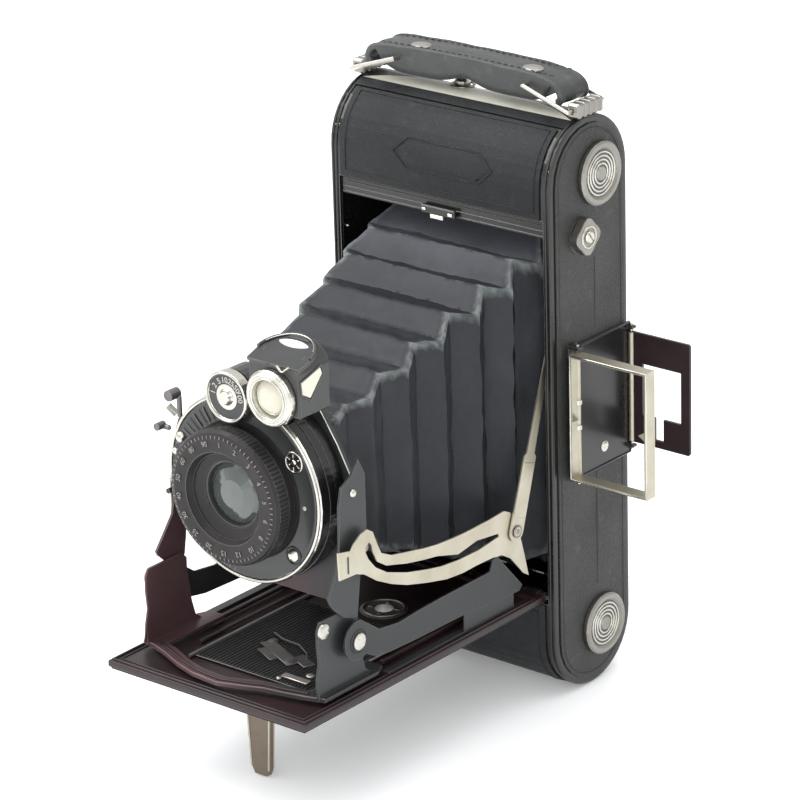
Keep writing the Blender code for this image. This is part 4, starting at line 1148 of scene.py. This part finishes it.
# ----------------------------------------------------------------------- bed ----
shape = Shape()
shape.tube(rectangle("z", -57.62, (-37.6, 37.6), (-151.9, -42.5), step=10), 0.55, closed=True)
shape.tube(rectangle("z", -57.66, (-35.9, 35.9), (-150.2, -43.5), step=10), 0.35, closed=True)
shape.finish("bed_rolled_rim", BROWN, "bed", smooth=60)
tubes("bed_worn_edge", [
    [(-38.3, -152.75, -57.95), (38.3, -152.75, -57.95)],
    [(38.35, -152.6, -57.95), (38.35, -44, -57.95)]], 0.17, WORN, "bed", sides=6)

# ribbed track plate between two rails
shape = Shape()
for i in range(33):
    x = -18.2 + i * 1.35
    shape.tube([(x, -135.2, -56.98), (x, -86.8, -56.98)], 0.38, sides=6, flat=0.8)
shape.finish("track_ribs", GREY, "bed", smooth=60)
tubes("track_edges", [[(x, -138.0, -56.9), (x, -60.0, -56.9)] for x in (-19.6, 26.6)],
      0.6, STEEL, "bed")
# guide strips: two on the left, one on the right
shape = Shape()
shape.box((-31.0, -29.4), (-128.0, -50.0), (-57.3, -55.9), bevel=0.3)
shape.box((-24.6, -23.4), (-128.0, -50.0), (-57.3, -56.5), bevel=0.2)
shape.box((29.6, 31.0), (-108.0, -50.0), (-57.3, -55.9), bevel=0.3)
shape.finish("bed_guides", BROWN, "bed", smooth=30)

# focusing catch: skewed leaves, two studs and a wire
skew = at(2, -121, 0) @ turn(-24, "Z")
shape = Shape()
shape.box((-10, 9), (-2.2, 2.2), (-56.7, -56.25), move=skew)
shape.box((-6, 3), (-5.0, -2.4), (-56.7, -56.2), move=skew)
shape.box((5, 13), (1.4, 5.4), (-56.7, -56.1), bevel=0.2, move=skew)
shape.lathe("z", (8.5, -123.5, -56.3), dome(2.3, 0.35), steps=20)
shape.lathe("z", (-5.5, -115.5, -56.3), dome(1.5, 0.3), steps=20)
shape.tube([(-9, -111, -56.4), (-4, -113, -56.35), (3, -113.5, -56.35), (9, -117, -56.35),
            (13, -122, -56.4)], 0.32)
shape.finish("focus_catch", LEVER, "bed", smooth=40)
shape = Shape()
shape.box((12.5, 22.5), (-133.4, -130.8), (-56.7, -56.15), bevel=0.2)
shape.lathe("z", (19.6, -128.0, -56.4), dome(1.3, 0.45), steps=20)
shape.lathe("z", (13.0, -134.6, -56.4), dome(0.8, 0.4), steps=16)
shape.finish("focus_stop", WORN, "bed", smooth=40)
# raised line round the right front corner, as (x, y)
CORNER_LINE = [(16, -141.5), (25.6, -140.0), (28.0, -137.8), (29.4, -118.5)]
tubes("bed_corner_line", [[(x, y, -57.45) for x, y in CORNER_LINE]], 0.38, WORN, "bed")

shape = Shape()
for i in range(6):
    shape.lathe("x", (-33 + i * 13.2, -37.2, -59.0), hoop(1.52, 1.8, -2.6, 2.6), steps=18)
shape.finish("bed_hinge_knuckles", ENAMEL, "bed", smooth=40)

# foot: ears and pin on the bed, folded flanges on the leg
FOOT_X = 1.4
shape = Shape()
for sign in (1, -1):
    shape.box((FOOT_X + sign * 5.4, FOOT_X + sign * 6.2), (-133.2, -127.8), (-63.6, -60.4),
              bevel=0.3)
shape.lathe("x", (FOOT_X, -130.5, -62.1), hoop(0, 0.6, -6.7, 6.7), steps=14)
shape.finish("foot_ears", NICKEL, "bed", smooth=40)
# flange line as (distance from the middle, z)
FLANGE = [(4.7, -61.6), (4.7, -64.5), (3.35, -90.6)]
shape = Shape()
for sign in (1, -1):
    for stretch in zip(FLANGE, FLANGE[1:]):
        for y in (-131.6, -129.4):
            shape.tube([(FOOT_X + sign * away, y, z) for away, z in stretch], 0.3)
shape.finish("foot_flanges", CREAM, "foot", smooth=60)

# border line on the leather under the bed
tubes("bed_leather_border", [rectangle("z", -60.6, (-34.5, 34.5), (-148.5, -44), step=10)],
      0.2, LEATHER, "bed", closed=True, sides=6)

# tripod bush: flange ring and four radial bars
BUSH_X, BUSH_Y = 5, -76
shape = Shape().torus("z", (BUSH_X, BUSH_Y, -57.15), 6.4, 0.4, steps=40)
for angle in (20, 110, 200, 290):
    shape.box((3.4, 5.0), (-0.55, 0.55), (-57.3, -56.9), bevel=0.12,
              move=at(BUSH_X, BUSH_Y, 0) @ turn(angle, "Z"))
shape.finish("tripod_bush_ring", NICKEL, "bed", smooth=60)

# screw and ring at the front of each bed arm
ARM_Y, ARM_Z = -125.5, -41.6
for tag, sign, outward in SIDES:
    screw("arm_screw_" + tag, outward, (sign * 37.22, ARM_Y, ARM_Z), 2.6, "bed",
          angle=15 + 30 * sign, height=0.3)
    Shape().torus(outward, (sign * 36.85, ARM_Y, ARM_Z), 3.5, 0.28).finish(
        "arm_boss_" + tag, GREY, "bed", smooth=60)

# -------------------------------------------------------------- base bracket ----
# front edge as (x, y)
BASE_FRONT = [(-35.6, -140.3), (-31.0, -140.9), (-24.8, -143.1), (-16.2, -146.7),
              (-8.3, -149.1), (1.9, -149.9), (9.8, -147.3), (15.9, -144.9), (22.0, -143.9),
              (30.0, -142.1), (35.6, -140.3)]
# front edge of the upright ears as (distance from the middle, y, z)
EAR_EDGE = [(33.6, -139.2, -31.6), (33.6, -140.4, -34.0), (33.6, -140.5, -38.5),
            (33.6, -140.0, -44.4), (33.6, -141.1, -48.7), (33.7, -141.4, -52.0),
            (34.4, -141.2, -55.2)]
tubes("base_front_lip", [[(x, y, -55.0) for x, y in BASE_FRONT]], 0.22, LIP, "base")
tubes("base_front_bead", [[(x * 0.97, y + 2.0, -55.05) for x, y in BASE_FRONT[1:-1]]],
      0.5, BROWN, "base")
tubes("base_ear_edges", [[(sign * x, y, z) for x, y, z in EAR_EDGE] for sign in (1, -1)],
      0.42, BASE, "base")
for tag, sign, outward in SIDES:
    screw("standard_screw_" + tag, outward, (sign * 34.05, -138.0, -34.6), 2.5, "base",
          angle=60, height=0.8)

# ------------------------------------------------------------------ standard ----
# pin y and front edge (y, z) of each side plate
SIDE_PLATES = {
    "right": (-124.2, [(-121.4, 13.6), (-125.0, 9.5), (-129.1, 7.6), (-130.5, 2.0),
                       (-130.8, -11.4), (-132.5, -18.0), (-134.9, -22.0), (-136.5, -25.0),
                       (-135.3, -27.5), (-133.5, -29.5)]),
    "left": (-121.4, [(-120.8, 10.7), (-123.1, 6.0), (-123.9, 0.0), (-124.5, -11.4),
                      (-126.1, -18.4), (-130.1, -23.4), (-134.0, -28.2), (-133.3, -29.5)]),
}
for tag, sign, outward in SIDES:
    pin_y, edge = SIDE_PLATES[tag]
    pin("side_plate_pin_" + tag, outward, (sign * 35.2, pin_y, 4.5), 1.35, 0.9, "standard",
        steps=20)
    tubes("side_plate_edge_" + tag, [[(sign * 35.0, y, z) for y, z in edge]],
          0.3, STANDARD, "standard", sides=6)
# bevelled plate edge above the shutter, as (x, z)
PLATE_EDGE = [(-31.3, 8), (-26.6, 16.7), (-20, 26.6), (20, 26.6), (26.6, 16.7), (31.3, 8)]
tubes("standard_plate_edge", [[(x, -120.5, z) for x, z in PLATE_EDGE]], 0.26, BRIGHT, "standard")

# ------------------------------------------------------------------- shutter ----
FACE_Y = -131.9
Shape().lathe("-y", (0, FACE_Y, 0), [
    (20.6, -0.1), (27.9, -0.1), (27.9, 0.18), (27.5, 0.34), (27.0, 0.18), (22.4, 0.18),
    (22.0, 0.42), (21.5, 0.42), (20.6, 0.1)], steps=96).finish(
    "shutter_face_plate", SHUTTER, "standard", smooth=40)
Shape().torus("-y", (0, FACE_Y, 0), 28.7, 0.6, steps=96).finish(
    "shutter_bright_line", BRIGHT, "standard", smooth=60)
# milled band round the waist
Shape().lathe("-y", (0, -124.6, 0), [
    (29.3, 0), (29.75, 0.1), (29.9, 0.4), (29.9, 2.9), (29.75, 3.2), (29.3, 3.3)],
    steps=240, teeth=80, tooth=0.3, milled=(2, 3)).finish(
    "aperture_ring_milling", ENAMEL, "standard", smooth=60)

# medallion: ring, dot and radial bars on a dark field
MEDAL_X, MEDAL_Z = 20.1, 13.2
shape = Shape()
shape.torus("-y", (MEDAL_X, -132.3, MEDAL_Z), 3.1, 0.34, steps=40)
shape.lathe("-y", (MEDAL_X, -132.2, MEDAL_Z), dome(0.9, 0.55), steps=20)
for angle in range(0, 360, 60):
    shape.box((-0.2, 0.2), (-132.75, -132.2), (1.4, 2.6), bevel=0.08,
              move=at(MEDAL_X, 0, MEDAL_Z) @ turn(angle, "Y"))
shape.finish("shutter_medallion", BRIGHT, "standard", smooth=50)
Shape().lathe("-y", (MEDAL_X, FACE_Y, MEDAL_Z), hoop(0, 3.3, 0, 0.4), steps=40).finish(
    "shutter_medallion_field", ENAMEL, "standard", smooth=50)

LOW_SCREW = (18.5, -132.15, -16.6)
screw("shutter_screw_low", "-y", LOW_SCREW, 2.0, "standard", angle=40, height=0.6)
Shape().torus("-y", LOW_SCREW, 2.7, 0.3).finish(
    "shutter_screw_ring", GREY, "standard", smooth=50)
pin("shutter_pin_a", "-y", (-24.0, -132.0, 10.9), 1.9, 1.6, "standard", steps=24)
pin("shutter_pin_b", "-y", (-26.6, FACE_Y, 5.9), 1.15, 1.0, "standard", steps=20)
pin("shutter_index_dot", "-y", (23.4, -132.1, -0.5), 0.7, 0.4, "standard", steps=16,
    material=WHITE)

# aperture scale round the lower left
APERTURES = [(198, "4"), (212, "5.6"), (227, "8"), (241, "11"), (255, "16"), (269, "22"),
             (282, "32")]
ring_text("aperture_numbers", APERTURES, (0, 0), radius=24.9, size=3.0, y=-132.12,
          material=MARKS, body="standard", inward=True)
ticks("aperture_ticks", inner=26.4, outer=27.6, angles=[190 + i * 4.5 for i in range(23)],
      width=0.3, y=-132.1, body="standard")

# radial ribs at the upper left
ribs = []
for i in range(9):
    angle = math.radians(118 + i * 5.2)
    ribs.append([(reach * math.cos(angle), -132.2, reach * math.sin(angle))
                 for reach in (21.6, 26.8)])
tubes("lever_cover_ribs", ribs, 0.34, SHUTTER, "standard", sides=6)
tubes("cable_socket", [[(-30.6, -126.6, 15.0), (-33.2, -127.2, 17.2)]], 1.1, NICKEL,
      "standard", sides=14)

# speed dial: black face, numbers, rim and hub
DIAL_X, DIAL_Z = -2.2, 29.5
SPEEDS = [(-84, "1"), (-58, "2"), (-32, "5"), (-6, "10"), (22, "25"), (50, "50"), (78, "100")]
DIAL_RIM = (DIAL_X, -135.6, DIAL_Z)
Shape().lathe("-y", (DIAL_X, -135.25, DIAL_Z), hoop(2.5, 7.0, -0.3, 0.12), steps=48).finish(
    "speed_dial_face", SHUTTER, "speed_dial", smooth=40)
ring_text("speed_dial_numbers", SPEEDS, (DIAL_X, DIAL_Z), radius=5.15, size=2.5, y=-135.42,
          material=WHITE, body="speed_dial")
Shape().torus("-y", DIAL_RIM, 7.5, 0.5, steps=48).finish(
    "speed_dial_rim", BRIGHT, "speed_dial", smooth=60)
screw("speed_dial_hub", "-y", DIAL_RIM, 2.2, "speed_dial", angle=35, height=1.3)

# ------------------------------------------------------------- focusing ring ----
RING_BACK_Y = -132.2
Shape().lathe("-y", (0, RING_BACK_Y, 0), [
    (20.2, 3.6), (21.0, 3.7), (21.25, 4.1), (21.25, 7.4), (21.0, 7.8), (20.2, 7.9)],
    steps=288, teeth=96, tooth=0.5, milled=(2, 3)).finish(
    "focus_milling", SHUTTER, "focusing_ring", smooth=60)
DISTANCES = "1 2 3 4 5 6 8 10 12 15 20 25 30 40 50 60 80 90".split()
ring_text("focus_numbers", [(i * 20, text) for i, text in enumerate(DISTANCES)], (0, 0),
          radius=17.0, size=2.3, y=-142.02, material=MARKS, body="focusing_ring")
ticks("focus_ticks", inner=18.45, outer=19.5, angles=[i * 5 for i in range(72)], width=0.26,
      y=-141.45, body="focusing_ring", depth=0.5)
shape = Shape()
# ring radius, distance forward, line radius
for ring, forward, radius in ((14.4, 9.2, 0.22), (13.3, 7.2, 0.2), (12.6, 6.0, 0.2),
                              (11.9, 5.0, 0.2)):
    shape.torus("-y", (0, RING_BACK_Y - forward, 0), ring, radius, steps=72, sides=6)
shape.finish("cone_turning_lines", CONE, "focusing_ring", smooth=60)
Shape().lathe("-y", (0, RING_BACK_Y, 0), [
    (9.6, 3.0), (11.2, 3.0), (11.2, 4.6), (10.6, 5.0), (9.9, 4.7), (9.6, 4.0)],
    steps=64).finish("glass_retaining_ring", SHUTTER, "focusing_ring", smooth=40)

# ---------------------------------------------------------- brilliant finder ----
FINDER_X = 18.8
OBJECTIVE_X, OBJECTIVE_Z = FINDER_X - 0.2, 35.2
shape = Shape()
# ring radius, distance forward, line radius
for ring, forward, radius in ((7.9, 1.9, 0.42), (7.0, 2.4, 0.36), (6.1, 2.5, 0.34)):
    shape.torus("-y", (OBJECTIVE_X, -138.5 - forward, OBJECTIVE_Z), ring, radius, steps=56)
shape.finish("finder_objective_rings", BRIGHT, "brilliant_finder", smooth=60)
Shape().lathe("-y", (OBJECTIVE_X, -139.3, OBJECTIVE_Z), [
    (0, -0.2), (5.4, -0.2), (5.4, 0.2), (4.6, 0.75), (3.2, 1.15), (1.6, 1.35), (0, 1.42)],
    steps=40).finish("finder_objective_glass", FINDER_GLASS, "brilliant_finder", smooth=60)


def on_lid(across, back, height):
    """Point on the sloping lid: back is the share of its depth behind the front edge."""
    return (FINDER_X + across, -138.3 + 13.7 * back - 0.36 * height,
            45.0 + 4.6 * back + 0.93 * height)


def lid_arc(depth):
    """Rounded rear edge of the lid as (across, back), from right to left."""
    angles = [math.pi * i / 18 for i in range(19)]
    return [(9.9 * math.cos(angle), 0.38 + depth * math.sin(angle)) for angle in angles]


lid = [(-9.9, 0.0), (9.9, 0.0), (10.0, 0.34), *lid_arc(0.62)[1:-1], (-10.0, 0.34)]
shape = Shape()
top, under = [[shape.vertex(on_lid(across, back, height)) for across, back in lid]
              for height in (0.35, -0.7)]
shape.bm.faces.new(top)
shape.bm.faces.new(under[::-1])
bridge(shape.bm, top, under)
shape.finish("finder_lid", SHUTTER, "brilliant_finder", smooth=35)
rim_arc = lid_arc(0.60)
tubes("finder_lid_rim", [[on_lid(across, back, 0.5) for across, back in rim_arc]],
      0.55, SHUTTER, "brilliant_finder")
tubes("finder_lid_worn_line",
      [[on_lid(across * 0.95, back - 0.02, 0.85) for across, back in rim_arc[2:17]]],
      0.2, BRIGHT, "brilliant_finder", sides=6)


def eye_glass():
    """Domed eye-shaped glass on the lid."""
    outline = []
    for i in range(24):
        angle = 2 * math.pi * i / 24
        rise = math.sin(angle)
        outline.append((5.6 * math.cos(angle), 0.115 * rise * abs(rise) ** 0.35))
    shape = Shape()
    # scale of the outline and height off the lid
    levels = ((1.0, 0.2), (0.98, 0.55), (0.8, 0.78), (0.45, 0.92))
    rings = [[shape.vertex(on_lid(across * scale, 0.70 + back * scale, height))
              for across, back in outline] for scale, height in levels]
    for ring_a, ring_b in zip(rings, rings[1:]):
        bridge(shape.bm, ring_a, ring_b)
    shape.bm.faces.new(rings[-1])
    shape.bm.faces.new(rings[0][::-1])
    return shape.finish("finder_eye_glass", EYE, "brilliant_finder", smooth=60)


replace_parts(eye_glass(), "finder_top_lens")
# V-shaped wire as (across, y, z)
V_WIRE = [(2.0, -138.9, 45.4), (3.6, -139.0, 43.9), (4.2, -139.0, 43.9), (6.4, -138.9, 45.7)]
tubes("finder_v_spring", [[(FINDER_X + across, y, z) for across, y, z in V_WIRE]],
      0.36, BRIGHT, "brilliant_finder")


def side_panel():
    """Flat ivory panel on the right side of the finder."""
    outline = [(-137.4, 41.2), (-129.0, 43.6), (-128.2, 41.6), (-133.6, 35.6), (-137.0, 37.6)]
    inner_x, outer_x = FINDER_X + 9.5, FINDER_X + 9.85
    curve = bpy.data.curves.new("finder_side_panel", "CURVE")
    curve.dimensions = "2D"
    curve.fill_mode = "BOTH"
    curve.extrude = (outer_x - inner_x) / 2 * MM
    spline = curve.splines.new("POLY")
    spline.points.add(len(outline) - 1)
    for point, (y, z) in zip(spline.points, outline):
        point.co = (y * MM, z * MM, 0, 1)
    spline.use_cyclic_u = True
    # the curve's x, y and z become Y, Z and X
    middle = (inner_x + outer_x) / 2 * MM
    upright = Matrix(((0, 0, 1, middle), (1, 0, 0, 0), (0, 1, 0, 0), (0, 0, 0, 1)))
    shape = Shape().take(curve_mesh(curve)).weld(1e-6).move(upright)
    panel = shape.finish("finder_side_panel", IVORY, "brilliant_finder", smooth=35)
    bevel = panel.modifiers.new("edge", "BEVEL")
    bevel.width = 0.12 * MM
    bevel.segments = 2
    bevel.limit_method = "ANGLE"
    bevel.angle_limit = math.radians(40)


side_panel()
PANEL_EDGE = [(-137.8, 41.5), (-128.7, 44.1), (-127.7, 41.5), (-133.6, 34.9), (-137.4, 37.3)]
tubes("finder_side_edge", [densify([(FINDER_X + 9.7, y, z) for y, z in PANEL_EDGE], 3)],
      0.28, ENAMEL, "brilliant_finder", closed=True, sides=6)

# -------------------------------------------------------------------- struts ----
# a link runs in the YZ plane from its top to its rivet; the sleeve is centred along that line
LINK_TOP, LINK_RIVET = Vector((-33.8, 26.0)), Vector((-52.4, -31.4))
SLEEVE_DISTANCE = 47.5
along_link = (LINK_RIVET - LINK_TOP).normalized()
sleeve = LINK_TOP + along_link * SLEEVE_DISTANCE
sleeve_tilt = math.degrees(math.atan2(along_link.y, along_link.x))
for tag, sign, outward in SIDES:
    shape = Shape()
    shape.torus(outward, (sign * 39.25, *LINK_RIVET), 1.7, 0.3)
    shape.lathe(outward, (sign * 39.1, *LINK_RIVET), dome(1.0, 0.5), steps=20)
    shape.finish("link_rivet_" + tag, NICKEL, "link_" + tag, smooth=50)
    if tag == "right":
        Shape().box((38.0, 38.25), (-131.0, -130.3), (-18.0, -12.6), bevel=0.08).finish(
            "strut_tab_slit_right", ENAMEL, "strut_right", smooth=30)
    Shape().box((sign * 38.75, sign * 39.15), (-8.6, 8.6), (-2.75, 2.75),
                move=at(0, *sleeve) @ turn(sleeve_tilt, "X")).finish(
        "link_sleeve_" + tag, CREAM, "link_" + tag, smooth=30)

# ----------------------------------------------------------- stage and light ----
# lengths in this section are in metres
bm = bmesh.new()
bmesh.ops.create_grid(bm, x_segments=8, y_segments=8, size=4.0)
floor_mesh = bpy.data.meshes.new("floor")
bm.to_mesh(floor_mesh)
bm.free()
floor = bpy.data.objects.new("floor", floor_mesh)
floor.location = (0, 0, cad_low.z - 0.0004)
scene.collection.objects.link(floor)
floor_mesh.materials.append(floor_material())

world = bpy.data.worlds.new("studio")
world.use_nodes = True
background = world.node_tree.nodes["Background"]
background.inputs["Color"].default_value = (1.0, 1.0, 1.0, 1)
background.inputs["Strength"].default_value = 1.0
scene.world = world
scene.view_settings.view_transform = "Standard"
scene.view_settings.look = "None"

# name, place, point aimed at, power in watts
LIGHTS = [
    ("key_left", (-0.75, -0.55, 0.95), (0, -0.05, 0), 12),
    ("fill_front", (0.55, -1.1, 0.5), (0, -0.06, 0), 5),
    ("top_soft", (0.1, 0.1, 1.2), (0, -0.05, 0), 6),
]
for name, place, target, power in LIGHTS:
    light = bpy.data.lights.new(name, "AREA")
    light.size = 0.9
    light.energy = power
    lamp = bpy.data.objects.new(name, light)
    lamp.location = place
    lamp.rotation_mode = "QUATERNION"
    lamp.rotation_quaternion = (Vector(target) - Vector(place)).to_track_quat("-Z", "Y")
    scene.collection.objects.link(lamp)

lens = bpy.data.cameras.new("camera")
lens.sensor_width = 36.0
lens.lens = 190.2
lens.clip_start = 0.05
lens.clip_end = 50
lens.shift_x = -0.00125
lens.shift_y = 0.0025
viewer = bpy.data.objects.new("camera", lens)
# columns: the view's right, up and backward directions, then its place
viewer.matrix_world = Matrix((
    (0.77443, -0.21045, 0.59664, 0.76984),
    (0.63211, 0.29665, -0.71584, -0.98265),
    (-0.02634, 0.93151, 0.36276, 0.47222),
    (0, 0, 0, 1)))
scene.collection.objects.link(viewer)
scene.camera = viewer
